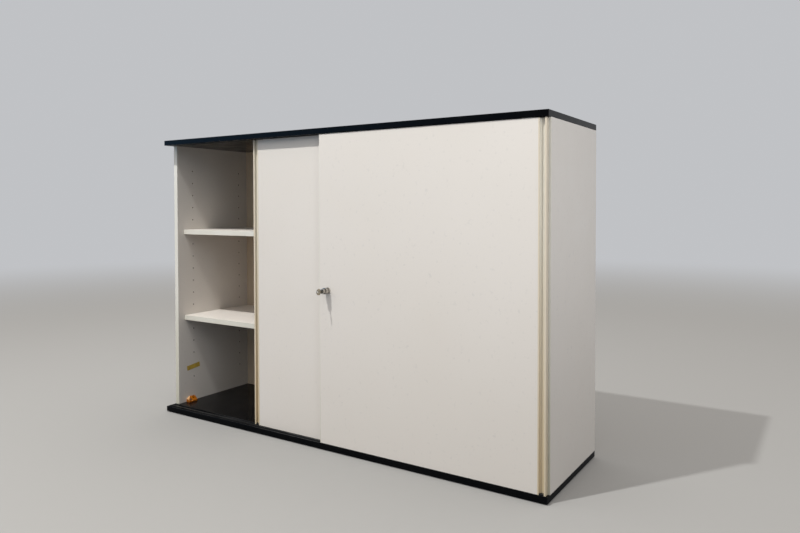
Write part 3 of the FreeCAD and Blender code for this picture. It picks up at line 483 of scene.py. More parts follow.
# ---- Double track in the base -----------------------------------------------------
# One black plastic extrusion let flush into the base: two channels side by side, each with
# a round bead along its floor that a door's grooved wheels run on.
BLACK_TRACK = (0.007, 0.007, 0.007)
CHANNEL_WIDTH = 14.0
TRACK_WALL = 2.0
TRACK_WEB = 1.5
BEAD = 1.0
TRACK_ROUND = 0.3 * MM


def eased(piece, width, steps=2, angle=35):
    """Rounds all the sharp edges of a piece."""
    activate(piece)
    bevel = piece.modifiers.new("eased", "BEVEL")
    bevel.width = width
    bevel.segments = steps
    bevel.limit_method = "ANGLE"
    bevel.angle_limit = math.radians(angle)
    bpy.ops.object.modifier_apply(modifier="eased")
    smoothed(piece)
    return piece


def extruded(name, points, path):
    """A straight extrusion of a closed outline."""
    piece = traced(name, [Vector(point) for point in points])
    bpy.ops.mesh.edge_face_add()
    bpy.ops.mesh.extrude_region_move(TRANSFORM_OT_translate={"value": path})
    return closed(piece)


def cut(piece, cutter):
    """Takes a shape out of a piece."""
    activate(piece)
    hollow = piece.modifiers.new("hollow", "BOOLEAN")
    hollow.object = cutter
    hollow.solver = "EXACT"
    hollow.material_mode = "TRANSFER" if cutter.data.materials else "INDEX"
    bpy.ops.object.modifier_apply(modifier="hollow")
    bpy.data.objects.remove(cutter)
    return piece


def half_round(y, z, radius, steps=8):
    """The points of a bead's crown, from its low-y side over to the other."""
    turns = [math.pi * step / steps for step in range(steps + 1)]
    return [(y - radius * math.cos(turn), z + radius * math.sin(turn)) for turn in turns]


black_track = finish("black_track_plastic", BLACK_TRACK, 0.3, Specular_IOR_Level=0.25)
wear_and_highlight_share = spread(black_track, cloud(black_track, 0.05, 5, (0.3, 1, 1)), 0, 0.15)
tinted(black_track, wear_and_highlight_share, WEAR_AND_HIGHLIGHT_GREY)
sheen(black_track, spread(black_track, cloud(black_track, 0.02, 4, (0.2, 1, 1)), 0.26, 0.46))

low, high = (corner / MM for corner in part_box("bottom_track"))
near = low.y + TRACK_WALL + CHANNEL_WIDTH / 2
far = high.y - TRACK_WALL - CHANNEL_WIDTH / 2
floor_z = low.z + TRACK_WEB
section = [(low.y, low.z), (low.y, high.z)]
for middle in (near, far):
    section += [
        (middle - CHANNEL_WIDTH / 2, high.z),
        (middle - CHANNEL_WIDTH / 2, floor_z),
        (middle - BEAD, floor_z),
        *half_round(middle, floor_z + BEAD, BEAD),
        (middle + BEAD, floor_z),
        (middle + CHANNEL_WIDTH / 2, floor_z),
        (middle + CHANNEL_WIDTH / 2, high.z),
    ]
section += [(high.y, high.z), (high.y, low.z)]
points = [Vector((low.x, y, z)) * MM for y, z in section]
bottom_track = extruded("double_bottom_track", points, ((high.x - low.x) * MM, 0, 0))
tunnel = board(
    "tunnel",
    Vector((low.x - 1, near + CHANNEL_WIDTH / 2 + TRACK_WEB, floor_z)) * MM,
    Vector((high.x + 1, far - CHANNEL_WIDTH / 2 - TRACK_WEB, high.z - TRACK_WEB)) * MM,
)
cut(bottom_track, tunnel)
eased(bottom_track, TRACK_ROUND)
dress(bottom_track, "cabinet", "black_track", ["bottom_track"], black_track)

# ---- Uprights with their pin holes --------------------------------------------------
# Two sides and a middle partition of particle board faced with off-white melamine. Each is
# drilled with two columns of 5 mm holes at 50 mm pitch, and a rebate in the sides takes the
# backs. The drilled holes show the brown board, painted darker as shade inside the holes. Thin
# cream bands close their front edges.
MELAMINE = (0.712, 0.658, 0.602)
MELAMINE_SHADE = (0.668, 0.610, 0.538)
SCUFF_GREY = (0.36, 0.35, 0.34)
HOLE_BOARD_AND_SHADE = (0.17, 0.11, 0.065)
HOLE_BOARD_AND_SHADE_DARK = (0.08, 0.05, 0.03)
CREAM_BAND = (0.735, 0.70, 0.625)
CREAM_BAND_SHADE = (0.67, 0.635, 0.545)
CREAM_BAND_FOOT = (0.56, 0.53, 0.43)
HOLE_RADIUS = 2.5 * MM
HOLE_DEPTH = 12 * MM
HOLE_PITCH = 50 * MM
HOLE_ROWS = 18
LOWEST_HOLE = 120 * MM
HOLE_COLUMNS = (-92.5 * MM, 163.5 * MM)
PANEL_ARRIS = 0.5 * MM
REBATE = 8 * MM
DARKER_FOOT_SPAN = (0.5, 0.05)

melamine = finish("off_white_melamine", MELAMINE, 0.42)
toned = tinted(melamine, spread(melamine, cloud(melamine, 0.5, 3), 0, 0.35), MELAMINE_SHADE)
scuffs = spread(melamine, cloud(melamine, 0.012, 6), 0, 0.22, 0.62, 0.8)
tinted(melamine, scuffs, SCUFF_GREY, toned)
sheen(melamine, spread(melamine, cloud(melamine, 0.09, 5), 0.36, 0.5))
grain(melamine, cloud(melamine, 1.1 * MM, 2), 0.03 * MM, 0.4)

# The hole walls' brown is darker than raw board: painted shade inside the holes.
hole_board_and_shade = finish("drilled_board_with_painted_shade", HOLE_BOARD_AND_SHADE, 0.9)
tinted(hole_board_and_shade, spread(hole_board_and_shade, cloud(hole_board_and_shade, 1.2 * MM, 3), 0, 1), HOLE_BOARD_AND_SHADE_DARK)


def near_foot(material, high, low):
    """A share that grows from none to all as a piece comes down from one height to another."""
    coordinates = part(material, "ShaderNodeTexCoord")
    split = part(material, "ShaderNodeSeparateXYZ")
    material.node_tree.links.new(coordinates.outputs["Object"], split.inputs["Vector"])
    return spread(material, split.outputs["Z"], 0, 1, high, low)


cream_band = finish("cream_edge_band", CREAM_BAND, 0.4)
shaded = spread(cream_band, cloud(cream_band, 0.15, 4, (1, 1, 0.4)), 0, 0.8)
toned = tinted(cream_band, shaded, CREAM_BAND_SHADE)
# Darker towards the bottom.
tinted(cream_band, near_foot(cream_band, *DARKER_FOOT_SPAN), CREAM_BAND_FOOT, toned)
sheen(cream_band, spread(cream_band, cloud(cream_band, 0.03, 4), 0.34, 0.5))


def round_bar(name, middle, radius, length, sides):
    """A length of round bar that lies along x."""
    bpy.ops.object.select_all(action="DESELECT")
    bpy.ops.mesh.primitive_cylinder_add(
        vertices=sides, radius=radius, depth=length, location=middle, rotation=(0, math.pi / 2, 0)
    )
    bar = bpy.context.object
    bar.name = name
    bpy.ops.object.transform_apply(location=True, rotation=True, scale=True)
    return bar


def hole_drill(x, depth):
    """A gang of drills that makes all the holes of one face at once."""
    place = (x + depth / 2, HOLE_COLUMNS[0], LOWEST_HOLE)
    drill = round_bar("drill", place, HOLE_RADIUS, depth, 24)
    column = HOLE_COLUMNS[1] - HOLE_COLUMNS[0]
    for count, step in ((HOLE_ROWS, (0, 0, HOLE_PITCH)), (len(HOLE_COLUMNS), (0, column, 0))):
        row = drill.modifiers.new("row", "ARRAY")
        row.count = count
        row.use_relative_offset = False
        row.use_constant_offset = True
        row.constant_offset_displace = step
        bpy.ops.object.modifier_apply(modifier="row")
    drill.data.materials.append(hole_board_and_shade)
    return drill


uprights = {
    "left_side_panel": ("left_side_board", 1),
    "right_side_panel": ("right_side_board", -1),
    "middle_partition": ("partition_board", 0),
}
back_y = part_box("left_back_panel")[0].y
for node, (name, inward) in uprights.items():
    low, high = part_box(node)
    upright = board(name, low, high)
    upright.data.materials.append(melamine)
    if inward:
        start, end = (high.x - REBATE, high.x + MM) if inward > 0 else (low.x - MM, low.x + REBATE)
        rebate = board("rebate", (start, back_y, low.z - MM), (end, high.y + MM, high.z + MM))
        cut(upright, rebate)
        drilled_from = high.x - HOLE_DEPTH if inward > 0 else low.x - MM
        cut(upright, hole_drill(drilled_from, HOLE_DEPTH + MM))
    else:
        cut(upright, hole_drill(low.x - MM, high.x - low.x + 2 * MM))
    smoothed(upright)
    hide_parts(node)
    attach(upright, "cabinet")

for node in ("left_side_edge_band", "right_side_edge_band", "partition_edge_band"):
    low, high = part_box(node)
    strip = board(node.replace("edge_band", "front_strip"), low, high)
    outer = low.y + TOUCH
    trimmed(strip, PANEL_ARRIS, lambda spot, way: spot.y < outer and abs(way.z) > 0.5)
    dress(strip, "cabinet", "cream_edging", [node], cream_band, cream_band)

# ---- Backs ---------------------------------------------------------------------
# Two sheets of 4 mm hardboard, coated beige, that lie in the rebate of the boards and sides
# and meet on the partition.
HARDBOARD = (0.60, 0.475, 0.345)
HARDBOARD_SHADE = (0.54, 0.425, 0.30)
hardboard = finish("coated_hardboard", HARDBOARD, 0.55)
tinted(hardboard, spread(hardboard, cloud(hardboard, 0.3, 5), 0, 0.6), HARDBOARD_SHADE)
sheen(hardboard, spread(hardboard, cloud(hardboard, 0.06, 4), 0.48, 0.64))
grain(hardboard, cloud(hardboard, 2.5 * MM, 3), 0.06 * MM, 0.5)
refinish(hardboard, "left_back_panel", "right_back_panel")

# ---- Corner blocks ----------------------------------------------------------------
# Clear amber plastic blocks that hold the uprights down to the base. Each has two wells,
# with a pan-head screw into the upright in one and a screw into the base in the other, and
# a ramp at its front end, which carries a pale painted highlight.
AMBER = (0.55, 0.175, 0.008)
DEEP_AMBER = (0.42, 0.11, 0.006)
AMBER_PAINTED_HIGHLIGHT = (0.57, 0.40, 0.22)
STEEL = (0.56, 0.56, 0.57)
STEEL_DULL = (0.38, 0.38, 0.39)
BLOCK_LENGTH = 39.0
BLOCK_SECTION = ((0, 0), (22, 0), (22, 6), (6, 20), (0, 20))
PAST_BLOCK = 30.0
BLOCK_FLOOR = 4.0
WELL = 11.0
WELL_ROUND = 1.5 * MM
BLOCK_ROUND = 0.6 * MM
BOSS = 14.0
RAMP_FOOT = 11.0
RAMP_TOP = 21.0
RAMP_LENGTH = 15.0
BASE_TOP = 22.0
SLOT_WIDTH = 0.45
SLOT_LENGTH = 2.4
SLOT_MIDDLE = 2.6

amber = finish("amber_plastic", AMBER, 0.2, Transmission_Weight=0.35, IOR=1.49, Coat_Weight=0.3)
tinted(amber, spread(amber, cloud(amber, 0.012, 3), 0, 1), DEEP_AMBER)
sheen(amber, spread(amber, cloud(amber, 0.006, 3), 0.14, 0.3))

# The ramp's pale colour is a painted highlight.
amber_painted_highlight = finish("amber_plastic_painted_highlight", AMBER_PAINTED_HIGHLIGHT, 0.35)
tinted(amber_painted_highlight, spread(amber_painted_highlight, cloud(amber_painted_highlight, 0.004, 4), 0, 0.6), AMBER)
sheen(amber_painted_highlight, spread(amber_painted_highlight, cloud(amber_painted_highlight, 0.003, 3), 0.25, 0.45))

steel = finish("zinc_plated_steel", STEEL, 0.34, Metallic=1.0)
tinted(steel, spread(steel, cloud(steel, 0.004, 4), 0, 1), STEEL_DULL)
sheen(steel, spread(steel, cloud(steel, 0.002, 3), 0.28, 0.45))

screw_outline = [
    (-3, 0), (-3, 1.8), (0, 1.8), (0, 4), (0.9, 3.9), (1.6, 3.3), (2.1, 2.2), (2.3, 0),
]


def screw(name, seat, axis):
    """A pan-head screw, seen from its head: a low dome with a cross recess."""
    seat, axis = Vector(seat) * MM, Vector(axis)
    head = turned(name, seat, axis, screw_outline, 32)
    middle = seat + axis * (SLOT_MIDDLE * MM)
    for across in range(3):
        if axis[across]:
            continue
        slot = Vector((SLOT_LENGTH, SLOT_LENGTH, SLOT_LENGTH))
        slot[across] = SLOT_WIDTH
        cut(head, board("recess", middle - slot * (MM / 2), middle + slot * (MM / 2)))
    smoothed(head)
    return head


def well(name, low, high):
    """A square well's shape, in millimetres, with rounded edges."""
    return eased(board(name, Vector(low) * MM, Vector(high) * MM), WELL_ROUND)


base_top = BASE_TOP * MM
start = -BLOCK_LENGTH / 2
points = [Vector((out, start, up)) * MM for out, up in BLOCK_SECTION]
block = extruded("corner_block", points, (0, BLOCK_LENGTH * MM, 0))
quarter = BLOCK_LENGTH / 4
side_low = (BOSS, -quarter - WELL / 2, BLOCK_FLOOR)
side_high = (PAST_BLOCK, -quarter + WELL / 2, BLOCK_FLOOR + WELL)
cut(block, well("side_well", side_low, side_high))
foot_low = (BLOCK_FLOOR, quarter - WELL / 2, BLOCK_FLOOR)
foot_high = (BLOCK_FLOOR + WELL, quarter + WELL / 2, PAST_BLOCK)
cut(block, well("foot_well", foot_low, foot_high))
ramp = [
    (-1, start - 1, RAMP_FOOT - 1),
    (-1, start + RAMP_LENGTH, RAMP_TOP),
    (-1, start - 1, RAMP_TOP),
]
cut(block, extruded("ramp", [Vector(point) * MM for point in ramp], (PAST_BLOCK * MM, 0, 0)))
eased(block, BLOCK_ROUND)
side_screw = screw("side_screw", (BOSS, -quarter, BLOCK_FLOOR + WELL / 2), (1, 0, 0))
foot_screw = screw("foot_screw", (BLOCK_FLOOR + WELL / 2, quarter, BLOCK_FLOOR), (0, 0, 1))
screws = joined("block_screws", [side_screw, foot_screw])


def mirrored(piece):
    """Turns a piece over to its other hand, across the plane x = 0."""
    activate(piece)
    piece.scale.x = -1
    bpy.ops.object.transform_apply(location=True, rotation=True, scale=True)
    bpy.ops.object.mode_set(mode="EDIT")
    bpy.ops.mesh.select_all(action="SELECT")
    bpy.ops.mesh.normals_make_consistent(inside=False)
    bpy.ops.object.mode_set(mode="OBJECT")
    smoothed(piece)
    return piece


low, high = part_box("corner_blocks")
block_y = (low.y + high.y) / 2
blocks, all_screws = [], []
for face_x in (low.x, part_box("middle_partition")[1].x):
    blocks.append(copied(block, "block_copy", (face_x, block_y, base_top)))
    all_screws.append(copied(screws, "screw_copy", (face_x, block_y, base_top)))
for piece, copies in ((mirrored(block), blocks), (mirrored(screws), all_screws)):
    copies.append(copied(piece, "mirrored_copy", (high.x, block_y, base_top)))
    bpy.data.objects.remove(piece)
all_blocks = joined("amber_corner_blocks", blocks)
dress(all_blocks, "cabinet", "amber_plastic", ["corner_blocks"], amber, amber_painted_highlight)
# The ramp's faces take the pale painted highlight.
for face in all_blocks.data.polygons:
    on_ramp = face.normal.y < -0.3 and face.normal.z > 0.4
    if on_ramp:
        face.material_index = 1
dress(joined("corner_block_screws", all_screws), "cabinet", "steel", [], steel)

# ---- Yellow sticker ------------------------------------------------------------------
# A plain yellow paper sticker with rounded corners, stuck a little askew on the left side's
# inner face over one of its pin holes. It is blank, and its yellow is stained by age.
YELLOW_PAPER = (0.62, 0.42, 0.06)
STAINED_PAPER = (0.42, 0.28, 0.06)
STICKER_HALF = (33.0, 9.5)
STICKER_PLACE = (-95.5, 162.0)
STICKER_THICKNESS = 0.25
STICKER_ROUND = 2 * MM
STICKER_TURN = 7.0

yellow_paper = finish("yellow_paper", YELLOW_PAPER, 0.6)
tinted(yellow_paper, spread(yellow_paper, cloud(yellow_paper, 0.012, 4), 0, 1), STAINED_PAPER)
grain(yellow_paper, cloud(yellow_paper, 0.8 * MM, 2), 0.03 * MM, 0.5)
half_length, half_height = STICKER_HALF
sticker = board(
    "yellow_sticker",
    Vector((0, -half_length, -half_height)) * MM,
    Vector((STICKER_THICKNESS, half_length, half_height)) * MM,
)
trimmed(sticker, STICKER_ROUND, lambda spot, way: abs(way.x) > 0.5)
sticker.rotation_euler.x = math.radians(STICKER_TURN)
sticker.location = (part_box("left_side_panel")[1].x, STICKER_PLACE[0] * MM, STICKER_PLACE[1] * MM)
bpy.ops.object.transform_apply(location=True, rotation=True, scale=True)
dress(sticker, "cabinet", "white_laminate", [], yellow_paper, yellow_paper)

# ---- Shelves and their pins -----------------------------------------------------
# Loose boards with the same off-white melamine and a cream front band. Their notched ends
# drop over plain steel pins, so that the pins don't show from in front.
PIN_RADIUS = 2.5
PIN_LENGTH = 19.0
PIN_IN_BOARD = 9.0
shelves = [f"{level}_{side}_shelf" for level in ("lower", "upper") for side in ("left", "right")]
refinish(melamine, *shelves)
for shelf in shelves:
    low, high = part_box(shelf + "_band")
    strip = board(shelf + "_front_strip", low, high)
    outer = low.y + TOUCH
    trimmed(strip, PANEL_ARRIS, lambda spot, way: spot.y < outer and abs(way.x) > 0.5)
    dress(strip, "cabinet", "cream_edging", [shelf + "_band"], cream_band, cream_band)

pin_outline = [
    (0, 0), (0, 2.0), (0.15, 2.35), (0.5, 2.5), (18.5, 2.5), (18.85, 2.35), (19, 2.0), (19, 0),
]
low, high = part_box("shelf_pins")
first = turned("pin", (0, 0, 0), (1, 0, 0), pin_outline, 24)
pins = []
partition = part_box("middle_partition")
pin_starts = (
    low.x,
    partition[0].x - (PIN_LENGTH - PIN_IN_BOARD) * MM,
    partition[1].x - PIN_IN_BOARD * MM,
    high.x - PIN_LENGTH * MM,
)
for z in (low.z + PIN_RADIUS * MM, high.z - PIN_RADIUS * MM):
    for y in HOLE_COLUMNS:
        pins += [copied(first, "pin_copy", (x, y, z)) for x in pin_starts]
bpy.data.objects.remove(first)
dress(joined("steel_shelf_pins", pins), "cabinet", "steel", ["shelf_pins"], steel)

# ---- Double guide track under the top ---------------------------------------------
# A second black extrusion, let into the underside of the top board. Its two narrow channels
# hold the tongues of the doors' top guides, with a stop clipped in near each end.
GUIDE_WIDTH = 7.4
low, high = (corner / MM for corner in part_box("top_track"))
near = low.y + TRACK_WALL + GUIDE_WIDTH / 2
far = high.y - TRACK_WALL - GUIDE_WIDTH / 2
roof = high.z - TRACK_WEB
section = [(low.y, high.z), (low.y, low.z)]
for middle in (near, far):
    section += [(middle - GUIDE_WIDTH / 2, low.z), (middle - GUIDE_WIDTH / 2, roof)]
    section += [(middle + GUIDE_WIDTH / 2, roof), (middle + GUIDE_WIDTH / 2, low.z)]
section += [(high.y, low.z), (high.y, high.z)]
points = [Vector((low.x, y, z)) * MM for y, z in section]
top_track = extruded("double_top_track", points, ((high.x - low.x) * MM, 0, 0))
tunnel = board(
    "tunnel",
    Vector((low.x - 1, near + GUIDE_WIDTH / 2 + TRACK_WEB, low.z + TRACK_WEB)) * MM,
    Vector((high.x + 1, far - GUIDE_WIDTH / 2 - TRACK_WEB, roof)) * MM,
)
cut(top_track, tunnel)
eased(top_track, TRACK_ROUND)
dress(top_track, "cabinet", "black_track", ["top_track"], black_track)
refinish(black_plastic, "door_stops")

# ---- Door boards -----------------------------------------------------------------
# Two 16 mm boards with the off-white melamine, the front one bored for the lock. A beige
# band closes the front door's inner edge, and a proud strip on the rear door's inner edge
# is what the lock's bolt stops.
BEIGE = (0.69, 0.605, 0.485)
BEIGE_SHADE = (0.62, 0.53, 0.40)
BEIGE_FOOT = (0.60, 0.50, 0.35)
BAND_ROUND = 0.8 * MM
STRIP_ROUND = 0.6 * MM
refinish(melamine, "rear_door_panel", "front_door_panel")

beige = finish("beige_profile_plastic", BEIGE, 0.36)
toned = tinted(beige, spread(beige, cloud(beige, 0.2, 4, (1, 1, 0.3)), 0, 0.7), BEIGE_SHADE)
# Darker towards the bottom.
tinted(beige, near_foot(beige, *DARKER_FOOT_SPAN), BEIGE_FOOT, toned)
sheen(beige, spread(beige, cloud(beige, 0.02, 4, (1, 1, 0.2)), 0.3, 0.44))
grain(beige, cloud(beige, 0.6 * MM, 2, (1, 1, 0.05)), 0.02 * MM, 0.5)

low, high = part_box("front_door_edge_band")
strip = board("front_door_inner_strip", low, high)
inner = low.x + TOUCH
trimmed(strip, BAND_ROUND, lambda spot, way: spot.x < inner and abs(way.z) > 0.5)
dress(strip, "front_door", "cream_edging", ["front_door_edge_band"], cream_band, cream_band)
low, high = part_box("rear_door_catch_strip")
strip = board("rear_door_inner_strip", low, high)
outer = low.y + TOUCH
trimmed(strip, STRIP_ROUND, lambda spot, way: spot.y < outer)
dress(strip, "rear_door", "beige_profile", ["rear_door_catch_strip"], beige, beige)

# ---- Finger grips ------------------------------------------------------------------
# A beige plastic profile, extruded as tall as the door. Its round lip hooks over a coved
# recess, whose paler beige is painted light and which grows darker towards the foot, where a
# black plug closes it. A thin flange laps the board's face, and a tongue is glued into the
# board's groove.
GRIP_WIDTH = 21.0
GRIP_DEPTH = 16.0
LIP_WIDTH = 5.5
LIP_ROUND = 0.9
LIP_DEPTH = 4.0
OUTER_WALL = 2.0
RECESS_DEPTH = 10.5
COVE_RADIUS = 8.5
COVE_X = 11.9
COVE_Y = 2.0
FLANGE = 1.5
FLANGE_EDGE = 0.6
FLANGE_ROUND = 0.35
LAP = 3.4
LAP_RISE = 0.25
CORNER_CUT = 0.3
TONGUE = 8.0
TONGUE_SIDES = (6.5, 9.5)
PLUG_HEIGHT = 3.6
PLUG_FRONT = 1.5
PLUG_ROUND = 0.3 * MM
RECESS_PAINTED_LIGHT_BEIGE = (0.76, 0.71, 0.61)
RECESS_FOOT = (0.655, 0.535, 0.35)
RECESS_DARKER_SPAN = (0.75, 0.05)

# The recess's paler beige is painted light.
recess_painted_light_beige = finish("beige_profile_recess_painted_light", RECESS_PAINTED_LIGHT_BEIGE, 0.4)
# The recess grows darker towards the foot.
tinted(recess_painted_light_beige, near_foot(recess_painted_light_beige, *RECESS_DARKER_SPAN), RECESS_FOOT)
sheen(recess_painted_light_beige, spread(recess_painted_light_beige, cloud(recess_painted_light_beige, 0.02, 4, (1, 1, 0.2)), 0.34, 0.5))
grain(recess_painted_light_beige, cloud(recess_painted_light_beige, 0.6 * MM, 2, (1, 1, 0.05)), 0.02 * MM, 0.5)


def bow(x, y, radius, first, last, steps):
    """Points along part of a circle, in millimetres, from one angle to another in degrees."""
    turns = [math.radians(first + (last - first) * step / steps) for step in range(steps + 1)]
    return [(x + radius * math.cos(turn), y + radius * math.sin(turn)) for turn in turns]


cove = bow(COVE_X, COVE_Y, COVE_RADIUS, 90, 0, 20)
grip_section = [
    *bow(LIP_ROUND, LIP_ROUND, LIP_ROUND, 180, 270, 6),
    *bow(LIP_WIDTH - LIP_ROUND, LIP_ROUND, LIP_ROUND, 270, 360, 6),
    (LIP_WIDTH, LIP_DEPTH - LIP_ROUND),
    (OUTER_WALL, LIP_DEPTH + LIP_WIDTH - OUTER_WALL),
    (OUTER_WALL, RECESS_DEPTH),
    *cove,
    *bow(GRIP_WIDTH - FLANGE_EDGE + FLANGE_ROUND, 0.1, FLANGE_ROUND, 180, 270, 3),
    (GRIP_WIDTH + LAP - 0.2, -LAP_RISE),
    (GRIP_WIDTH + LAP, -0.05),
    (GRIP_WIDTH, -0.02),
    (GRIP_WIDTH, TONGUE_SIDES[0]),
    (GRIP_WIDTH + TONGUE, TONGUE_SIDES[0]),
    (GRIP_WIDTH + TONGUE, TONGUE_SIDES[1]),
    (GRIP_WIDTH, TONGUE_SIDES[1]),
    (GRIP_WIDTH, GRIP_DEPTH),
    (CORNER_CUT, GRIP_DEPTH),
    (0.0, GRIP_DEPTH - CORNER_CUT),
]
chamber = [
    *bow(COVE_X, COVE_Y, COVE_RADIUS + FLANGE, 90, 31.8, 12),
    (GRIP_WIDTH - FLANGE, GRIP_DEPTH - FLANGE),
    (OUTER_WALL, GRIP_DEPTH - FLANGE),
    (OUTER_WALL, RECESS_DEPTH + FLANGE),
]
plug_section = [
    *cove,
    (GRIP_WIDTH - FLANGE_EDGE, PLUG_FRONT),
    (LIP_WIDTH, PLUG_FRONT),
    (LIP_WIDTH, LIP_DEPTH - LIP_ROUND),
    (OUTER_WALL, LIP_DEPTH + LIP_WIDTH - OUTER_WALL),
    (OUTER_WALL, RECESS_DEPTH),
]


def in_door(name, section, edge_x, hand, face_y, foot, height):
    """An extrusion of a section in the door's own measures, at its place in the cabinet."""
    points = [Vector((edge_x + hand * x * MM, face_y + y * MM, foot)) for x, y in section]
    return extruded(name, points, (0, 0, height))


for door, hand in (("rear_door", 1), ("front_door", -1)):
    low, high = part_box(door + "_grip")
    edge_x = low.x if hand > 0 else high.x
    height = high.z - low.z
    grip = in_door(door + "_finger_grip", grip_section, edge_x, hand, low.y, low.z, height)
    cut(grip, in_door("chamber", chamber, edge_x, hand, low.y, low.z - MM, height + 2 * MM))
    smoothed(grip)
    dress(grip, door, "beige_profile", [door + "_grip"], beige, recess_painted_light_beige)
    # Faces in the recess take the paler beige, which is painted light.
    for face in grip.data.polygons:
        out, back = (face.center.x - edge_x) * hand, face.center.y - low.y
        beside_lip = OUTER_WALL * MM - TOUCH < out < (GRIP_WIDTH - FLANGE_EDGE + 0.01) * MM
        if beside_lip and 0.5 * MM < back < (RECESS_DEPTH + 0.1) * MM:
            face.material_index = 1
    plug_name = door + "_recess_plug"
    plug = in_door(plug_name, plug_section, edge_x, hand, low.y, low.z, PLUG_HEIGHT * MM)
    eased(plug, PLUG_ROUND)
    dress(plug, door, "black_plastic", [door + "_grip_plugs"], black_track)

# ---- Rollers, axles and guides in the doors ----------------------------------------
# Each door stands on two white nylon wheels, grooved to run on the track's bead, on steel
# axles in black housings let into the board from behind. Two nylon guides with tongues at
# its top keep it in the upper track.
NYLON = (0.74, 0.73, 0.69)
NYLON_SHADE = (0.62, 0.60, 0.55)
nylon = finish("white_nylon", NYLON, 0.38, Subsurface_Weight=0.15, Subsurface_Scale=0.002)
tinted(nylon, spread(nylon, cloud(nylon, 0.006, 4), 0, 0.8), NYLON_SHADE)
sheen(nylon, spread(nylon, cloud(nylon, 0.003, 3), 0.32, 0.5))

wheel_outline = [
    (-3.0, 2.1), (-3.0, 4.2), (-2.2, 4.8), (-2.2, 8.6), (-3.0, 9.4), (-3.0, 11.6), (-2.6, 12.0),
    (-1.5, 12.0), (0.0, 10.5), (1.5, 12.0), (2.6, 12.0), (3.0, 11.6), (3.0, 9.4), (2.2, 8.6),
    (2.2, 4.8), (3.0, 4.2), (3.0, 2.1), (-3.0, 2.1),
]
for door in ("rear", "front"):
    for side in ("left", "right"):
        node = f"{door}_door_{side}_roller"
        low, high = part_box(node)
        wheel = turned(f"{door}_{side}_grooved_wheel", (low + high) / 2, (0, 1, 0), wheel_outline)
        dress(wheel, f"{door}_{side}_wheel", "white_nylon", [node], nylon)
    refinish(steel, door + "_door_axles")
    refinish(black_plastic, door + "_door_roller_housings")
    refinish(nylon, door + "_door_top_guides")

# ---- Push lock --------------------------------------------------------------------
# A turned barrel with a flange and a ring groove, plated satin nickel, through the front
# door. Its plunger is pushed in to throw the bolt, and the core in it turns with the key.
NICKEL = (0.60, 0.57, 0.52)
NICKEL_SHADE = (0.42, 0.39, 0.35)
CORE_FACE = 33
KEYWAY_HALF = 1.1
nickel = finish("satin_nickel_plate", NICKEL, 0.3, Metallic=1.0)
tinted(nickel, spread(nickel, cloud(nickel, 0.005, 5), 0, 1), NICKEL_SHADE)
sheen(nickel, spread(nickel, cloud(nickel, 0.3 * MM, 3, (1, 8, 1)), 0.24, 0.4))

low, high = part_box("lock_housing")
lock_centre = Vector(((low.x + high.x) / 2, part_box("front_door_panel")[0].y, (low.z + high.z) / 2))
outward = Vector((0, -1, 0))
housing_outline = [
    (-16, 4.05), (-16, 9), (0, 9), (0, 11), (4.1, 11), (4.75, 10.75), (5.0, 10.2), (5.0, 9.6),
    (5.3, 9.3), (8.7, 9.3), (9.0, 9.6), (9.0, 9.9), (9.2, 10.35), (9.6, 10.5), (18.9, 10.5),
    (19.6, 10.2), (20, 9.5), (20, 8.3), (19.8, 8.05), (-9, 8.05), (-9, 4.05), (-16, 4.05),
]
housing = turned("lock_barrel", lock_centre, outward, housing_outline, 64)
dress(housing, "front_door", "satin_nickel", ["lock_housing"], nickel)
plunger_outline = [
    (0, 0), (0, 8), (30.8, 8), (31.4, 7.84), (31.84, 7.4), (32, 6.8), (32, 5.7), (31.8, 5.5),
    (7.95, 5.5), (7.95, 0),
]
plunger = turned("lock_push_barrel", lock_centre, outward, plunger_outline, 64)
dress(plunger, "push_lock", "satin_nickel", ["lock_plunger"], nickel)
bolt_outline = [(0, 0), (0, 4), (-11.2, 4), (-11.8, 3.7), (-12, 3.0), (-12, 0)]
bolt = turned("lock_bolt_rod", lock_centre, outward, bolt_outline)
dress(bolt, "push_lock", "steel", ["lock_bolt"], steel)
core_outline = [
    (8, 0), (8, 5.45), (32.0, 5.45), (32.6, 5.2), (32.9, 4.7), (CORE_FACE, 4.0), (CORE_FACE, 0),
]
core = turned("lock_turning_core", lock_centre, outward, core_outline, 64)
keyway_low = lock_centre + Vector((-KEYWAY_HALF, -CORE_FACE - 1, -4)) * MM
keyway_high = lock_centre + Vector((KEYWAY_HALF, -12, 4)) * MM
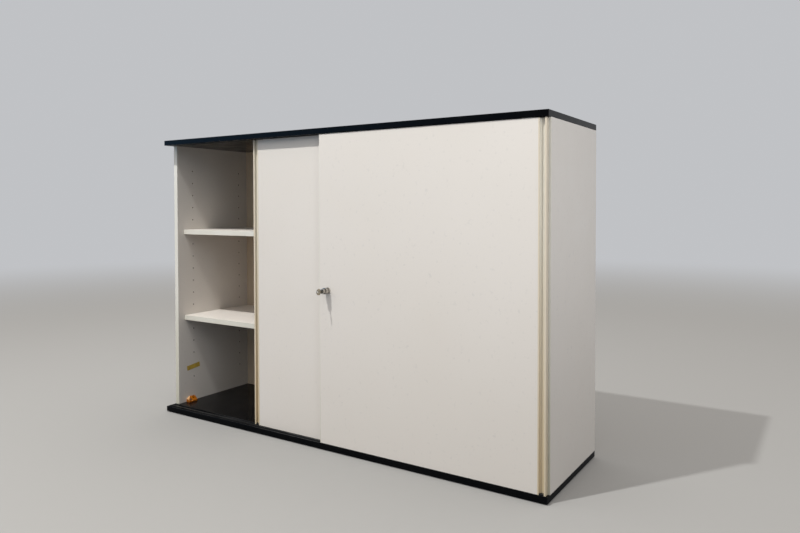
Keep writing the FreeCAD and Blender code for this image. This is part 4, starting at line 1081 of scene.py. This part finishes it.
cut(core, board("keyway", keyway_low, keyway_high))
smoothed(core)
dress(core, "key", "satin_nickel", ["lock_core"], nickel)

# ---- Key ---------------------------------------------------------------------------
# A flat steel key, nickel plated and worn, with a round bow that has a shallow pressed
# field and a hole for a ring. Its blade is in the core.
KEY_METAL = (0.52, 0.49, 0.42)
KEY_METAL_WORN = (0.34, 0.30, 0.22)
BOW_RADIUS = 10.5 * MM
BOW_RIM = 2 * MM
FIELD_DEPTH = 0.5 * MM
RING_HOLE = 3.2 * MM
RING_HOLE_OUT = 4.5 * MM
NECK_HALF = 4.5 * MM
BLADE_HALF = 3.8 * MM
KEY_ROUND = 0.2 * MM
key_metal = finish("worn_key_metal", KEY_METAL, 0.32, Metallic=1.0)
tinted(key_metal, spread(key_metal, cloud(key_metal, 0.006, 5), 0, 1), KEY_METAL_WORN)
sheen(key_metal, spread(key_metal, cloud(key_metal, 0.002, 4), 0.25, 0.45))


def welded(piece, other):
    """Makes one piece of two that overlap."""
    activate(piece)
    union = piece.modifiers.new("weld", "BOOLEAN")
    union.operation = "UNION"
    union.object = other
    union.solver = "EXACT"
    bpy.ops.object.modifier_apply(modifier="weld")
    bpy.data.objects.remove(other)
    return piece


low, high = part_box("key")
face_y = lock_centre.y - CORE_FACE * MM
x, z = (low.x + high.x) / 2, (low.z + high.z) / 2
bow_y = low.y + BOW_RADIUS
key = round_bar("flat_key", (x, bow_y, z), BOW_RADIUS, high.x - low.x, 64)
welded(key, board("neck", (low.x, bow_y, z - NECK_HALF), (high.x, face_y, z + NECK_HALF)))
welded(key, board("blade", (low.x, face_y - MM, z - BLADE_HALF), (high.x, high.y, z + BLADE_HALF)))
for side in (low.x, high.x):
    cut(key, round_bar("field", (side, bow_y, z), BOW_RADIUS - BOW_RIM, FIELD_DEPTH, 64))
cut(key, round_bar("ring_hole", (x, bow_y - RING_HOLE_OUT, z), RING_HOLE, 6 * MM, 32))
eased(key, KEY_ROUND)
dress(key, "key", "key_steel", ["key"], key_metal)
